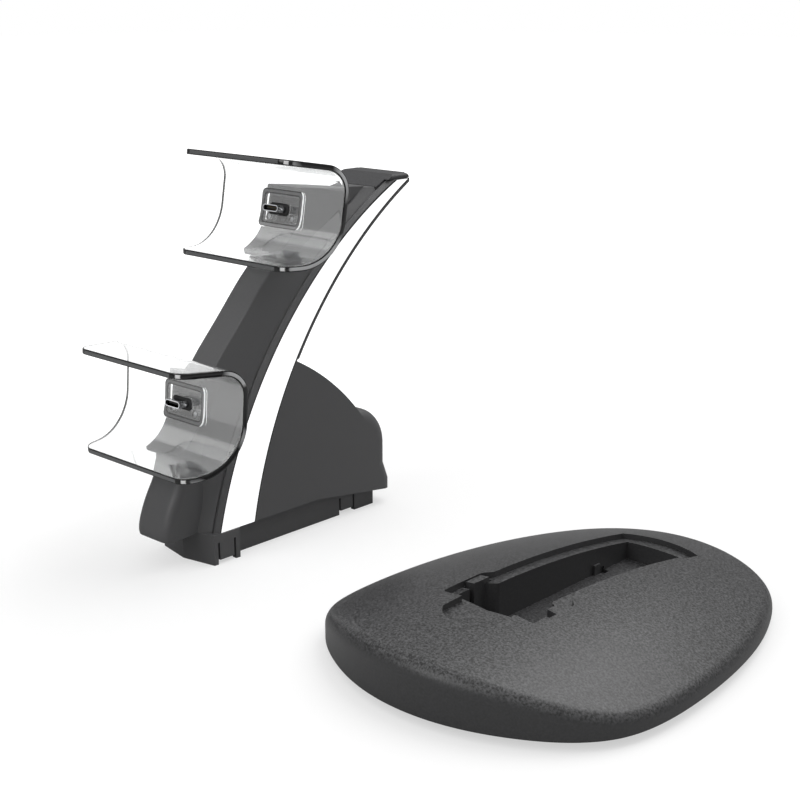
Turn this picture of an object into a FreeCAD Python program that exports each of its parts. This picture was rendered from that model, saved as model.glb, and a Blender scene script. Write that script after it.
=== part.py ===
import FreeCAD
import Part
import math
import os
from FreeCAD import Placement, Rotation, Vector

# Two-tier charging dock for game controllers: a curved tower with two clear cradles, and the domed
# base that the tower plugs into, standing beside it. Millimetres, +Z up. The tower is drawn in a frame
# with its origin on the floor at the nose of its plug, y running back and x across.

# Tower: overall
TOWER_WIDTH = 28.7
SKIRT_BOTTOM = 11.8
ARM_TOP = 134.2
ARM_END_Y = 109.9
WALL = 2.0
FIT = 0.15

# Tower: the sweeping curves of the side view, each as (centre y, centre z, radius)
FRONT_EDGE = (188.2, -31.9, 187.3)
BACK_EDGE = (205.4, -24.9, 184.8)
SPINE_EDGE = (166.7, -36.8, 188.4)
SKIRT_EDGE = (-3.1, -25.3, 107.9)
SKIRT_END_Y = 88.3
TIP_RADIUS = 0.5

# Tower: spine in front of the side walls
SPINE_HALF = 6.8
TOE_HALF = 9.5
TOE_CORNER = 4.2
TOE_FRONT_Y = -14.3
GROOVE_HALF = 8.0
GROOVE_SETBACK = 5.3
FACET_SETBACK = 1.9
CREASE_CORNER = 0.5
TOE_FADE = (26.0, 60.0)
CHANNEL_SETBACK = 4.5
BEVEL = 1.35
SPINE_BACK = 2.0

# Tower: rear hump
HUMP_REAR_Y = 96.8
HUMP_CROWN_Y = 84.0
HUMP_CROWN_Z = 43.0
HUMP_CROWN_SLOPE = 0.24
HUMP_SHOULDER = 4.8
FLARE_REACH = 2.9
FLARE_TOP = 18.0
FLARE_LOW = 10.5
SKIRT_FALL_Y = 57.0
SKIRT_REAR_BOTTOM = 5.9

# Tower: light strips in the side walls
STRIP_LIP = 0.35
STRIP_DEPTH = 1.2
STRIP_SEAT = 2.6
LIGHT_BOARD_MARGIN = 3.4
LIGHT_BOARD_THICK = 1.0
BACK_COVER_THICK = 0.6

# Tower: cap on the arm's tip
CAP_TOP = 136.2
CAP_FRONT_Y = 93.0
CAP_FRONT_Z = 131.9
CAP_EDGE = 1.2
CAP_CREST_Y = 101.0
CAP_REAR_Y = 109.6
CAP_ROUND = 1.6

# Tower: plug frame under the skirts
PLUG_HALF = 15.0
PLUG_NOSE = 2.85
PLUG_WING_END = 15.4
PLUG_INSET_HALF = 10.4
PLUG_STEP = 2.4
PLUG_REAR_Y = 92.0
PLUG_INNER_TOP = 15.0
LATCH_SLIT = 0.9
LATCH_RAISE = 1.6
FRONT_LATCH = (5.2, 12.9, 8.5)
REAR_LATCH = (72.8, 80.6, 7.0)
SCREW_BLOCK_X = 6.6
SCREW_BLOCKS_Y = (33.0, 66.0)

# Cradles
CRADLE_SHEET = 2.1
CRADLE_TOP_RADIUS = 9.7
CRADLE_FLAT = 9.5
CRADLE_LOW_RADIUS = 19.8
CRADLE_LOW_TURN = 82.0
CRADLE_TOP_REACH = 28.0
CRADLE_LOW_REACH = 24.8
CRADLE_HALF_BACK = 34.0
CRADLE_TAPER = 0.165
CRADLE_CORNER = 5.5
# each as (tilt in degrees, y and z of the foot of the flat back)
CRADLES = {"lower": (4.5, 4.7, 59.5), "upper": (9.7, 54.7, 125.2)}

# Charging plugs and what carries them, seen along the plug
PLUG_LEAN = 3.0
PLUG_RISE = 0.6
FRAME_HALF = 11.5
FRAME_HEIGHT = 15.0
FRAME_BORDER = 2.0
FRAME_DEPTH = 1.4
FRAME_CORNER = 2.2
SHELL_WIDTH = 8.35
SHELL_HEIGHT = 2.6
SHELL_WALL = 0.35
SHELL_REACH = 4.8
TONGUE_WIDTH = 6.7
TONGUE_THICK = 0.7
BODY_WIDTH = 10.6
BODY_HEIGHT = 4.4
BODY_LENGTH = 12.0
BOSS_HALF = 9.2
RECESS_HALF = 8.0
RECESS_HEIGHT = 10.4
RECESS_DEPTH = 7.5
SCREW_HEAD = 1.5
SCREW_SHANK = 0.95
SCREW_SPREAD = 6.3
SCREW_DROP = 3.2
POST_RADIUS = 1.6
STUB_LENGTH = 2.4
PLUG_BOARD = (8.6, 9.0, 1.2)

# Base
BASE_GAP = (143.8, 5.5)
BASE_HEIGHT = 23.3
DOME_CREST_Y = 15.0
DOME_LENGTH_RADIUS = 437.0
DOME_CROSS_RADIUS = 134.0
BASE_HALF_OUTLINE = [(20.5, -38.35), (36.8, -31.4), (49.2, -22.7), (57.8, -11.6), (61.95, 3.6), (62.65, 20.0),
                     (60.25, 50.0), (54.8, 74.7), (49.4, 89.2), (40.6, 104.4), (21.0, 117.4)]
BASE_FRONT_Y = -41.35
BASE_REAR_Y = 121.0
BASE_TOP_FILLET = 5.4
BASE_RIM_FILLET = 0.4
BASE_WALL = 2.4
FOOT_LIFT = 3.0
RECESS_FALL = 2.0
RECESS_CORNER = 1.6
TOE_ROOM = 1.1
WING_ROOM = 3.8
SIDE_ROOM = 1.45
REAR_ROOM = 0.7
POCKET_ROOM = 0.5
PLUG_FLOOR_ROOM = 1.0
COVER_THICK = 1.8
FOOT_RADIUS = 7.0
FOOT_SINK = 0.9
FEET = {"front": (33.0, -8.0), "rear": (29.0, 100.0)}
BASE_SCREW_AT = {"front": (44.0, 8.0), "rear": (36.5, 86.0)}
BASE_BOSS = 3.2
BASE_PILOT_TOP = 10.1
BALLAST = (20.0, 56.0, 3.8)
BALLAST_AT = (23.5, 22.0)

HALF = TOWER_WIDTH / 2
INNER_HALF = HALF - WALL
BASE_AT = Vector(BASE_GAP[0], BASE_GAP[1], 0)


def on_arc(arc, z, grow=0.0):
    """y of the front side of an arc of the side view, at height z."""
    centre_y, centre_z, radius = arc
    radius = radius + grow
    return centre_y - math.sqrt(radius ** 2 - (z - centre_z) ** 2)


def arc_points(arc, z_from, z_to, grow=0.0, x=0.0):
    """Start, middle and end of a stretch of such an arc."""
    heights = (z_from, (z_from + z_to) / 2, z_to)
    return [Vector(x, on_arc(arc, z, grow), z) for z in heights]


def path(points):
    """Straight edges through a list of points."""
    return [Part.LineSegment(a, b).toShape() for a, b in zip(points, points[1:])]


def solid_between(edges, direction):
    """The prism of a closed outline, pushed along a vector."""
    wire = Part.Wire(Part.__sortEdges__(edges))
    return Part.Face(wire).extrude(direction)


def side_prism(corners, x_from, x_to):
    """A prism across the tower from corners (y, z) of the side view."""
    points = [Vector(x_from, y, z) for y, z in corners]
    return solid_between(path(points + points[:1]), Vector(x_to - x_from, 0, 0))


def box(x_range, y_range, z_range):
    """An upright block from its three ranges."""
    size = [b - a for a, b in (x_range, y_range, z_range)]
    return Part.makeBox(*size, Vector(x_range[0], y_range[0], z_range[0]))


def mirror(shape):
    """The same shape on the other side of the tower."""
    return shape.mirror(Vector(0, 0, 0), Vector(1, 0, 0))


def swoosh(x_from, x_to, front_grow, back_grow, z_from, z_to):
    """A slice of the arm between its front and back curves, each moved out by grow."""
    front = arc_points(FRONT_EDGE, z_from, z_to, front_grow, x_from)
    back = arc_points(BACK_EDGE, z_from, z_to, back_grow, x_from)
    edges = [Part.Arc(*front).toShape(), Part.Arc(*back).toShape()]
    edges += path([front[0], back[0]])
    edges += path([front[2], back[2]])
    arm = solid_between(edges, Vector(x_to - x_from, 0, 0))
    if back[2].y > ARM_END_Y > front[2].y:
        arm = arm.cut(box((x_from - 1, x_to + 1), (ARM_END_Y + min(back_grow, 0), 200), (z_from - 1, z_to + 1)))
    return arm


def skirt_bottom_z(y):
    """Height of the skirts' lower edge, level at first and then falling to the rear."""
    fall = (SKIRT_BOTTOM - SKIRT_REAR_BOTTOM) / (HUMP_REAR_Y + FLARE_REACH - SKIRT_FALL_Y)
    return SKIRT_BOTTOM - max(0.0, y - SKIRT_FALL_Y) * fall


def rounded_plan(half, y_front, y_rear, radius, z):
    """Closed plan outline with rounded rear corners, as edges."""
    mid = radius * (1 - math.sqrt(0.5))
    right = [Vector(half, y_front, z), Vector(half, y_rear - radius, z)]
    rear = [Vector(half - radius, y_rear, z), Vector(-half + radius, y_rear, z)]
    left = [Vector(-half, y_rear - radius, z), Vector(-half, y_front, z)]
    corner_right = Part.Arc(right[1], Vector(half - mid, y_rear - mid, z), rear[0]).toShape()
    corner_left = Part.Arc(rear[1], Vector(-half + mid, y_rear - mid, z), left[0]).toShape()
    return path(right) + [corner_right] + path(rear) + [corner_left] + path(left) + path([left[1], right[0]])


def hump_side(inset):
    """Side outline of the hump: a falling crown, a round shoulder and an upright back."""
    rear = HUMP_REAR_Y - inset
    crown = HUMP_CROWN_Z - inset
    start_y = 32.0
    slope = math.atan(HUMP_CROWN_SLOPE)
    radius = (HUMP_REAR_Y - HUMP_CROWN_Y) / (1 - math.sin(slope)) - inset
    centre = Vector(0, rear - radius, 0)
    touch_y = centre.y + radius * math.sin(slope)
    centre.z = crown + (HUMP_CROWN_Y - touch_y) * HUMP_CROWN_SLOPE - radius * math.cos(slope)
    touch = Vector(0, touch_y, centre.z + radius * math.cos(slope))
    half_turn = (math.pi / 2 + slope) / 2
    middle = centre + Vector(0, radius * math.sin(half_turn), radius * math.cos(half_turn))
    end = Vector(0, rear, centre.z)
    start = Vector(0, start_y, touch.z + (touch_y - start_y) * HUMP_CROWN_SLOPE)
    low_rear = Vector(0, rear, SKIRT_REAR_BOTTOM - inset)
    low_front = Vector(0, start_y, SKIRT_REAR_BOTTOM - inset)
    return path([low_front, start, touch]) + [Part.Arc(touch, middle, end).toShape()] + \
        path([end, low_rear, low_front])


def hump_block():
    """The whole hump as one solid with rounded shoulders and the flare round its foot."""
    block = solid_between(hump_side(0), Vector(TOWER_WIDTH, 0, 0)).translate(Vector(-HALF, 0, 0))
    shoulder = [e for e in block.Edges
                if abs(abs(e.CenterOfMass.x) - HALF) < 0.01
                and e.BoundBox.ZMax > SKIRT_REAR_BOTTOM + 1 and e.BoundBox.YMax > 60]
    block = block.makeFillet(HUMP_SHOULDER, shoulder)
    front = HUMP_REAR_Y - 16
    high = Part.Wire(rounded_plan(HALF, front, HUMP_REAR_Y, HUMP_SHOULDER, FLARE_TOP))
    low = Part.Wire(rounded_plan(HALF, front, HUMP_REAR_Y + FLARE_REACH, HUMP_SHOULDER, FLARE_LOW))
    flare = Part.makeLoft([low, high], True, True)
    foot = Part.Face(low).extrude(Vector(0, 0, SKIRT_REAR_BOTTOM - 1 - FLARE_LOW))
    return block.fuse([flare, foot])


def below_skirts():
    """Everything lower than the skirts' bottom edge."""
    rear = HUMP_REAR_Y + 2 * FLARE_REACH
    corners = [(-40, -1), (rear, -1), (rear, skirt_bottom_z(rear)), (SKIRT_FALL_Y, SKIRT_BOTTOM),
               (-40, SKIRT_BOTTOM)]
    return side_prism(corners, -HALF - 5, HALF + 5)


def side_wall():
    """Flat right-hand wall of arm and skirt, bevelled along its front edge."""
    arm = swoosh(INNER_HALF, HALF, BEVEL, 0, SKIRT_BOTTOM, ARM_TOP)
    front = [e for e in arm.Edges
             if e.Curve.TypeId == "Part::GeomCircle" and abs(e.CenterOfMass.x - HALF) < 0.01
             and abs(e.Curve.Radius - FRONT_EDGE[2] - BEVEL) < 0.01]
    arm = arm.makeChamfer(BEVEL, front)
    tip = [e for e in arm.Edges if e.BoundBox.YMin > ARM_END_Y - 0.01 and e.BoundBox.ZMin > ARM_TOP - 0.01]
    arm = arm.makeFillet(TIP_RADIUS, tip)
    centre_y, centre_z, radius = SKIRT_EDGE
    start = Vector(INNER_HALF, 40.0, centre_z + math.sqrt(radius ** 2 - (40.0 - centre_y) ** 2))
    end_z = centre_z + math.sqrt(radius ** 2 - (SKIRT_END_Y - centre_y) ** 2)
    end = Vector(INNER_HALF, SKIRT_END_Y, end_z)
    middle_y = (start.y + end.y) / 2
    middle = Vector(INNER_HALF, middle_y, centre_z + math.sqrt(radius ** 2 - (middle_y - centre_y) ** 2))
    low = [Vector(INNER_HALF, SKIRT_END_Y, SKIRT_REAR_BOTTOM), Vector(INNER_HALF, 20.0, SKIRT_REAR_BOTTOM)]
    inside = Vector(INNER_HALF, 20.0, SKIRT_BOTTOM)
    corner = Vector(INNER_HALF, 30.0, start.z - 12)
    edges = [Part.Arc(start, middle, end).toShape()] + path([end] + low + [inside, corner, start])
    skirt = solid_between(edges, Vector(WALL, 0, 0))
    return arm.fuse(skirt)


def inside_arm(grow=0.0):
    """Room between the side walls, from the spine back to the back cover."""
    return swoosh(-HALF - 1, HALF + 1, 6, -BACK_COVER_THICK - grow, SKIRT_BOTTOM - 8, ARM_TOP)


def screw_block(y):
    """Block on a side wall that takes a screw of the plug frame."""
    return box((SCREW_BLOCK_X - 3, INNER_HALF + 0.5), (y - 3, y + 3), (PLUG_INNER_TOP + FIT, PLUG_INNER_TOP + 9))


def inlet_room(grow):
    """The power socket's own shape, or the window round it, in the hump's back."""
    half_width = 4.5 + grow
    half_height = 1.65 + grow
    mid_z = PLUG_INNER_TOP + 1.6 + 1.65
    block = box((-half_width, half_width), (HUMP_REAR_Y - 8.6, HUMP_REAR_Y - 0.4 + 4 * grow),
                (mid_z - half_height, mid_z + half_height))
    ends = [e for e in block.Edges if e.Length > 8 and abs(e.CenterOfMass.x) > half_width - 0.01
            and e.BoundBox.YLength > 7]
    return block.makeFillet(half_height - 0.05, ends)


def side_shell():
    """Right-hand shell: wall, skirt and its half of the rear hump, with the strip's seat."""
    hump = hump_block()
    room = solid_between(hump_side(WALL), Vector(2 * INNER_HALF, 0, 0)).translate(Vector(-INNER_HALF, 0, 0))
    flare_front = HUMP_REAR_Y - 16
    flare_room = box((-INNER_HALF + 2, INNER_HALF - 2), (flare_front, HUMP_REAR_Y - WALL), (0, FLARE_TOP))
    hump = hump.cut([room, flare_room, inside_arm(FIT)])
    hump = hump.common(box((0.02, HALF + 5), (0, 200), (0, 100)))
    shell = side_wall().fuse([hump] + [screw_block(y) for y in SCREW_BLOCKS_Y])
    shell = shell.cut(below_skirts())
    seat = swoosh(HALF - STRIP_DEPTH, HALF + 1, -STRIP_LIP, STRIP_LIP, SKIRT_BOTTOM - 1, ARM_TOP - STRIP_LIP)
    window = swoosh(INNER_HALF - 1, HALF, -STRIP_SEAT, STRIP_SEAT, SKIRT_BOTTOM + 4, ARM_TOP - 12)
    pilots = [Part.makeCylinder(SCREW_SHANK - 0.1, 8, Vector(SCREW_BLOCK_X, y, PLUG_INNER_TOP))
              for y in SCREW_BLOCKS_Y]
    return shell.cut([seat, window, inlet_room(0.3)] + pilots).removeSplitter()


def light_strip():
    """White diffuser that fills the seat in the right-hand wall, flush with it."""
    lip = STRIP_LIP + 0.05
    strip = swoosh(HALF - STRIP_DEPTH + 0.02, HALF, -lip, lip, SKIRT_BOTTOM, ARM_TOP - lip)
    return strip


def light_board():
    """Narrow board behind the diffuser, with its row of light sources."""
    margin = LIGHT_BOARD_MARGIN
    inner = INNER_HALF - FIT - LIGHT_BOARD_THICK
    board = swoosh(inner, INNER_HALF - FIT, -margin, margin, SKIRT_BOTTOM + 9, ARM_TOP - 18)
    middle = ((FRONT_EDGE[0] + BACK_EDGE[0]) / 2, (FRONT_EDGE[1] + BACK_EDGE[1]) / 2,
              (FRONT_EDGE[2] + BACK_EDGE[2]) / 2)
    lights = []
    count = 8
    for i in range(count):
        z = SKIRT_BOTTOM + 14 + i * (ARM_TOP - 22 - SKIRT_BOTTOM - 14) / (count - 1)
        y = on_arc(middle, z)
        lights.append(box((INNER_HALF - FIT - 0.01, INNER_HALF + 0.6), (y - 1.5, y + 1.5), (z - 1.5, z + 1.5)))
    return board.fuse(lights)


def back_cover():
    """Thin cover on the arm's back: full width above the skirts, between them lower down."""
    split = SKIRT_EDGE[1] + math.sqrt(SKIRT_EDGE[2] ** 2 - (47.2 - SKIRT_EDGE[0]) ** 2) + 0.8
    thick = BACK_COVER_THICK
    low_end = 54.0
    pieces = []
    for half, z_from, z_to in ((HALF, split, ARM_TOP), (INNER_HALF - FIT, low_end, split + 1)):
        outer = arc_points(BACK_EDGE, z_from, z_to, -0.02, -half)
        inner = arc_points(BACK_EDGE, z_from, z_to, -thick, -half)
        edges = [Part.Arc(*outer).toShape(), Part.Arc(*inner).toShape()]
        edges += path([outer[0], inner[0]]) + path([outer[2], inner[2]])
        pieces.append(solid_between(edges, Vector(2 * half, 0, 0)))
    cover = pieces[0].fuse(pieces[1])
    end = box((-HALF - 1, HALF + 1), (ARM_END_Y, ARM_END_Y + 9), (ARM_TOP - 30, ARM_TOP + 9))
    return cover.cut([cap_zone(FIT), end]).removeSplitter()


def cap_zone(grow=0.0):
    """Side-view room of the cap above the walls and between them."""
    over = side_prism([(CAP_CREST_Y - 8, ARM_TOP + FIT - grow), (CAP_REAR_Y + 4, ARM_TOP + FIT - grow),
                       (CAP_REAR_Y + 4, CAP_TOP + 4), (CAP_CREST_Y - 8, CAP_TOP + 4)], -HALF - 1, HALF + 1)
    return over


def top_cap():
    """Cap that rises from between the walls to lie over their tips."""
    inner = INNER_HALF - FIT
    slope = (CAP_TOP - CAP_FRONT_Z) / (CAP_CREST_Y - CAP_FRONT_Y)
    tail_y = ARM_END_Y - BACK_COVER_THICK
    wedge = side_prism([(CAP_FRONT_Y, CAP_FRONT_Z), (CAP_CREST_Y, CAP_TOP), (tail_y, CAP_TOP),
                        (tail_y - 1.5, ARM_TOP - 2.4), (CAP_FRONT_Y, CAP_FRONT_Z - CAP_EDGE)], -inner, inner)
    low = ARM_TOP + FIT
    start_y = CAP_CREST_Y - (CAP_TOP - low) / slope
    slab = side_prism([(start_y, low), (CAP_CREST_Y, CAP_TOP), (CAP_REAR_Y, CAP_TOP), (CAP_REAR_Y, low)],
                      -HALF, HALF)
    rear = [e for e in slab.Edges if e.BoundBox.ZMin > CAP_TOP - 0.01 and e.BoundBox.YMin > CAP_REAR_Y - 0.01]
    sides = [e for e in slab.Edges if e.BoundBox.ZMin > CAP_TOP - 0.01 and abs(e.CenterOfMass.x) > HALF - 0.01]
    slab = slab.makeFillet(CAP_ROUND, rear + sides)
    return slab.fuse(wedge).removeSplitter()


def spine_front_y(z):
    """Front of the spine at height z: the arc, then the toe's flare."""
    flare = [(SKIRT_BOTTOM, TOE_FRONT_Y), (17.0, TOE_FRONT_Y + 0.2), (22.5, TOE_FRONT_Y + 2.2),
             (28.0, TOE_FRONT_Y + 5.0), (34.0, TOE_FRONT_Y + 7.9), (43.0, on_arc(SPINE_EDGE, 43.0))]
    for (z_low, y_low), (z_high, y_high) in zip(flare, flare[1:]):
        if z <= z_high:
            return y_low + (y_high - y_low) * max(0.0, z - z_low) / (z_high - z_low)
    return on_arc(SPINE_EDGE, z)


def spine_section(z):
    """Plan outline of the spine at height z, from toe shape below to creased shape above."""
    share = min(1.0, max(0.0, (z - TOE_FADE[0]) / (TOE_FADE[1] - TOE_FADE[0])))
    front_y = spine_front_y(z)
    edge_y = on_arc(FRONT_EDGE, z) - FACET_SETBACK
    side = INNER_HALF - FIT
    half = TOE_HALF + (SPINE_HALF - TOE_HALF) * share
    corner = TOE_CORNER + (CREASE_CORNER - TOE_CORNER) * share
    groove_x = GROOVE_HALF + (SPINE_HALF + 2.7 - GROOVE_HALF) * share
    facet_y = front_y + (edge_y - front_y) * (groove_x - half) / (side - half)
    groove_y = (edge_y - GROOVE_SETBACK + FACET_SETBACK) * (1 - share) + facet_y * share
    back_y = on_arc(FRONT_EDGE, z) + SPINE_BACK
    down = Vector(groove_x - half, groove_y - front_y, 0).normalize()
    right = [Vector(half - corner, front_y, z), Vector(half, front_y, z) + down * corner,
             Vector(groove_x, groove_y, z), Vector(side, edge_y, z), Vector(side, back_y, z)]
    left = [Vector(-p.x, p.y, p.z) for p in right]
    edges = path([left[0], right[0]])
    edges.append(rounded_corner(right[0], Vector(half, front_y, z), right[1]))
    edges += path(right[1:])
    edges += path([right[4], left[4]])
    edges += path([left[4], left[3], left[2], left[1]])
    edges.append(rounded_corner(left[1], Vector(-half, front_y, z), left[0]))
    return Part.Wire(edges)


def rounded_corner(start, tip, end):
    """Soft curve that replaces a corner."""
    curve = Part.BezierCurve()
    curve.setPoles([start, tip, end])
    return curve.toShape()


def spine_body():
    """The spine as a smooth body through its sections."""
    levels = [SKIRT_BOTTOM, 17.0, 22.5, 28.0, 34.0, 43.0, 54.0, 66.0, 80.0, 96.0, 112.0, CAP_FRONT_Z - FIT]
    return Part.makeLoft([spine_section(z) for z in levels], True, False)


def arc_room(arc, grow, half, z_from, z_to):
    """Room behind an arc of the side view, as wide as half to each side."""
    front = arc_points(arc, z_from, z_to, grow, -half)
    far = [Vector(-half, 150, z_to), Vector(-half, 150, z_from)]
    edges = [Part.Arc(*front).toShape()] + path([front[2]] + far + [front[0]])
    return solid_between(edges, Vector(2 * half, 0, 0))


def spine_rooms():
    """Hollow of the spine: a narrow channel in front and a wide one behind."""
    low = SKIRT_BOTTOM + WALL
    high = CAP_FRONT_Z - FIT - WALL
    narrow = arc_room(SPINE_EDGE, -CHANNEL_SETBACK, SPINE_HALF - WALL, low, high)
    wide = arc_room(FRONT_EDGE, -FACET_SETBACK, INNER_HALF - FIT - WALL, low, high)
    return [narrow, wide]


def cradle_frame_at(name):
    """Placement of a cradle's own frame in the tower."""
    tilt, y, z = CRADLES[name]
    return Placement(Vector(0, y, z), Rotation(Vector(1, 0, 0), -tilt))


def cradle_outline(inset, closed_front):
    """Side outline of a cradle in its own frame, moved in by inset, as a list of edges."""
    top_r = CRADLE_TOP_RADIUS - inset
    low_r = CRADLE_LOW_RADIUS - inset
    turn = math.radians(CRADLE_LOW_TURN)
    top_centre = Vector(0, -CRADLE_TOP_RADIUS, CRADLE_FLAT)
    low_centre = Vector(0, -CRADLE_LOW_RADIUS, 0)

    def around(centre, radius, angle):
        return centre + Vector(0, radius * math.cos(angle), radius * math.sin(angle))

    lip_top = Vector(0, -CRADLE_TOP_REACH, CRADLE_FLAT + top_r)
    top_end = around(top_centre, top_r, math.pi / 2)
    top_start = around(top_centre, top_r, 0)
    low_start = around(low_centre, low_r, 0)
    low_end = around(low_centre, low_r, -turn)
    along = Vector(0, -math.sin(turn), -math.cos(turn))
    lip_low = low_end + along * ((CRADLE_LOW_REACH + low_end.y) / math.sin(turn) + 0.5)
    edges = path([lip_top, top_end])
    edges.append(Part.Arc(top_end, around(top_centre, top_r, math.pi / 4), top_start).toShape())
    edges += path([top_start, low_start])
    edges.append(Part.Arc(low_start, around(low_centre, low_r, -turn / 2), low_end).toShape())
    edges += path([low_end, lip_low])
    if closed_front:
        edges += path([lip_low, lip_low + Vector(0, -20, 0), lip_top + Vector(0, -20, 0), lip_top])
    return edges, lip_top, lip_low


def cradle_prism(inset, half):
    """Everything inside a cradle's outline, open far to the front."""
    edges = cradle_outline(inset, True)[0]
    return solid_between(edges, Vector(2 * half, 0, 0)).translate(Vector(-half, 0, 0))


def cradle_plan():
    """Tapered plan of a cradle with rounded front corners, as a tall prism."""
    reach = CRADLE_TOP_REACH
    front_half = CRADLE_HALF_BACK - CRADLE_TAPER * reach
    points = [Vector(-CRADLE_HALF_BACK - 1, 6, -60), Vector(CRADLE_HALF_BACK + 1, 6, -60),
              Vector(front_half, -reach, -60), Vector(-front_half, -reach, -60)]
    prism = solid_between(path(points + points[:1]), Vector(0, 0, 120))
    corners = [e for e in prism.Edges if e.Length > 100 and e.CenterOfMass.y < -reach + 0.1]
    return prism.makeFillet(CRADLE_CORNER, corners)


def cradle_low_trim():
    """What the lower lip gives up because it is shorter than the upper one."""
    front_half = CRADLE_HALF_BACK - CRADLE_TAPER * CRADLE_LOW_REACH
    keep = box((-front_half, front_half), (-CRADLE_LOW_REACH, 0), (-60, 5))
    corners = [e for e in keep.Edges if e.Length > 60 and e.CenterOfMass.y < -CRADLE_LOW_REACH + 0.1]
    keep = keep.makeFillet(CRADLE_CORNER, corners)
    zone = box((-60, 60), (-CRADLE_TOP_REACH - 10, -CRADLE_LOW_REACH + CRADLE_CORNER), (-60, 0))
    return zone.cut(keep)


def plug_placement():
    """Placement of the plug and its frame in a cradle's frame, -y pointing out of the cradle."""
    inner_wall = -CRADLE_SHEET
    return Placement(Vector(0, inner_wall, PLUG_RISE), Rotation(Vector(1, 0, 0), -PLUG_LEAN))


def rounded_bar(width, height, y_from, y_to, radius):
    """A bar along y with a rounded rectangular section, centred on the axis."""
    bar = box((-width / 2, width / 2), (y_from, y_to), (-height / 2, height / 2))
    ends = [e for e in bar.Edges if e.BoundBox.YLength > abs(y_to - y_from) - 0.01]
    return bar.makeFillet(radius, ends)


def screw(head_radius, head_height, shank_radius, length):
    """Pan-head screw standing on its tip side, head up at z = 0, with a cross recess."""
    head = Part.makeCylinder(head_radius, head_height)
    rim = [e for e in head.Edges if abs(e.CenterOfMass.z - head_height) < 0.01 and e.Length > head_radius]
    head = head.makeFillet(head_height * 0.45, rim)
    shank = Part.makeCylinder(shank_radius, length + 0.1, Vector(0, 0, -length))
    slot = head_radius * 0.6
    width = head_radius * 0.16
    cross = [box((-slot, slot), (-width, width), (head_height * 0.4, head_height + 1)),
             box((-width, width), (-slot, slot), (head_height * 0.4, head_height + 1))]
    return head.fuse(shank).cut(cross)


def cradle_parts(name):
    """A cradle and what is fixed to it, each shape in the tower's frame."""
    frame = cradle_frame_at(name)
    shell = cradle_prism(0, 40).cut(cradle_prism(CRADLE_SHEET, 41)).common(cradle_plan())
    shell = shell.cut(cradle_low_trim())
    plug = plug_placement()
    to_plug = plug.toMatrix()
    inside = cradle_prism(0.4, 41)

    hole = rounded_bar(BODY_WIDTH + 2 * FIT, BODY_HEIGHT + 2 * FIT, -4, 8, 1.6)
    back = CRADLE_SHEET
    screw_seat = back + RECESS_DEPTH + WALL + 0.02
    length = RECESS_DEPTH + WALL - 0.6
    stubs = []
    pilots = []
    screw_shapes = []
    for side in (-1, 1):
        at = Vector(side * SCREW_SPREAD, 0, -SCREW_DROP)
        stub = Part.makeCylinder(POST_RADIUS, STUB_LENGTH + 1, at + Vector(0, back - 1, 0), Vector(0, 1, 0))
        stubs.append(stub.transformGeometry(to_plug).cut(inside))
        drill_from = at + Vector(0, back + 0.4, 0)
        pilots.append(Part.makeCylinder(SCREW_SHANK + 0.02, STUB_LENGTH + 1, drill_from, Vector(0, 1, 0)))
        piece = screw(SCREW_HEAD, 1.0, SCREW_SHANK, length)
        piece.Placement = Placement(at + Vector(0, screw_seat, 0), Rotation(Vector(1, 0, 0), -90))
        screw_shapes.append(piece)
    cuts = [c.transformGeometry(to_plug) for c in [hole] + pilots]
    shell = shell.fuse(stubs).cut(cuts).removeSplitter()

    ring = rounded_bar(2 * FRAME_HALF, FRAME_HEIGHT, -1, back + FRAME_DEPTH, FRAME_CORNER)
    ring = ring.cut(rounded_bar(2 * (FRAME_HALF - FRAME_BORDER), FRAME_HEIGHT - 2 * FRAME_BORDER, -6, 6,
                                FRAME_CORNER - 1))
    ring = ring.transformGeometry(to_plug).cut(cradle_prism(-0.02, 45))

    body = rounded_bar(BODY_WIDTH, BODY_HEIGHT, -0.3, BODY_LENGTH, 1.5)
    metal = rounded_bar(SHELL_WIDTH, SHELL_HEIGHT, -SHELL_REACH, 2.0, SHELL_HEIGHT / 2 - 0.02)
    hollow = rounded_bar(SHELL_WIDTH - 2 * SHELL_WALL, SHELL_HEIGHT - 2 * SHELL_WALL, -SHELL_REACH - 1, 1.2,
                         SHELL_HEIGHT / 2 - SHELL_WALL - 0.02)
    body = body.cut(rounded_bar(SHELL_WIDTH + 0.04, SHELL_HEIGHT + 0.04, -2, 2.02, SHELL_HEIGHT / 2))
    tongue = box((-TONGUE_WIDTH / 2, TONGUE_WIDTH / 2), (-SHELL_REACH + 1.4, 1.18),
                 (-TONGUE_THICK / 2, TONGUE_THICK / 2))
    width, height, thick = PLUG_BOARD
    board = box((-width / 2, width / 2), (BODY_LENGTH + 0.02, BODY_LENGTH + thick), (-height / 2, height / 2))
    parts = {"cradle": shell, "cradle_frame": ring}
    plug_side = {"plug_body": body, "plug_shell": metal.cut(hollow), "plug_tongue": tongue,
                 "plug_board": board, "cradle_screws": Part.makeCompound(screw_shapes)}
    for part_name, shape in plug_side.items():
        parts[part_name] = shape.transformGeometry(to_plug)
    return {"%s_%s" % (key, name): shape.transformGeometry(frame.toMatrix()) for key, shape in parts.items()}


def boss(name):
    """Block of the front cover that reaches out to a cradle's back."""
    tilt, y, z = CRADLES[name]
    top = ARM_TOP + 1.4 if name == "upper" else z + CRADLE_FLAT + 3
    bottom = z - CRADLE_LOW_RADIUS * 0.93
    corners = [(y - 12, bottom), (on_arc(SPINE_EDGE, bottom) + 4, bottom),
               (on_arc(SPINE_EDGE, top - 3) + 5, top - 3.4), (y - 12, top)]
    return side_prism(corners, -BOSS_HALF, BOSS_HALF)


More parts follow.
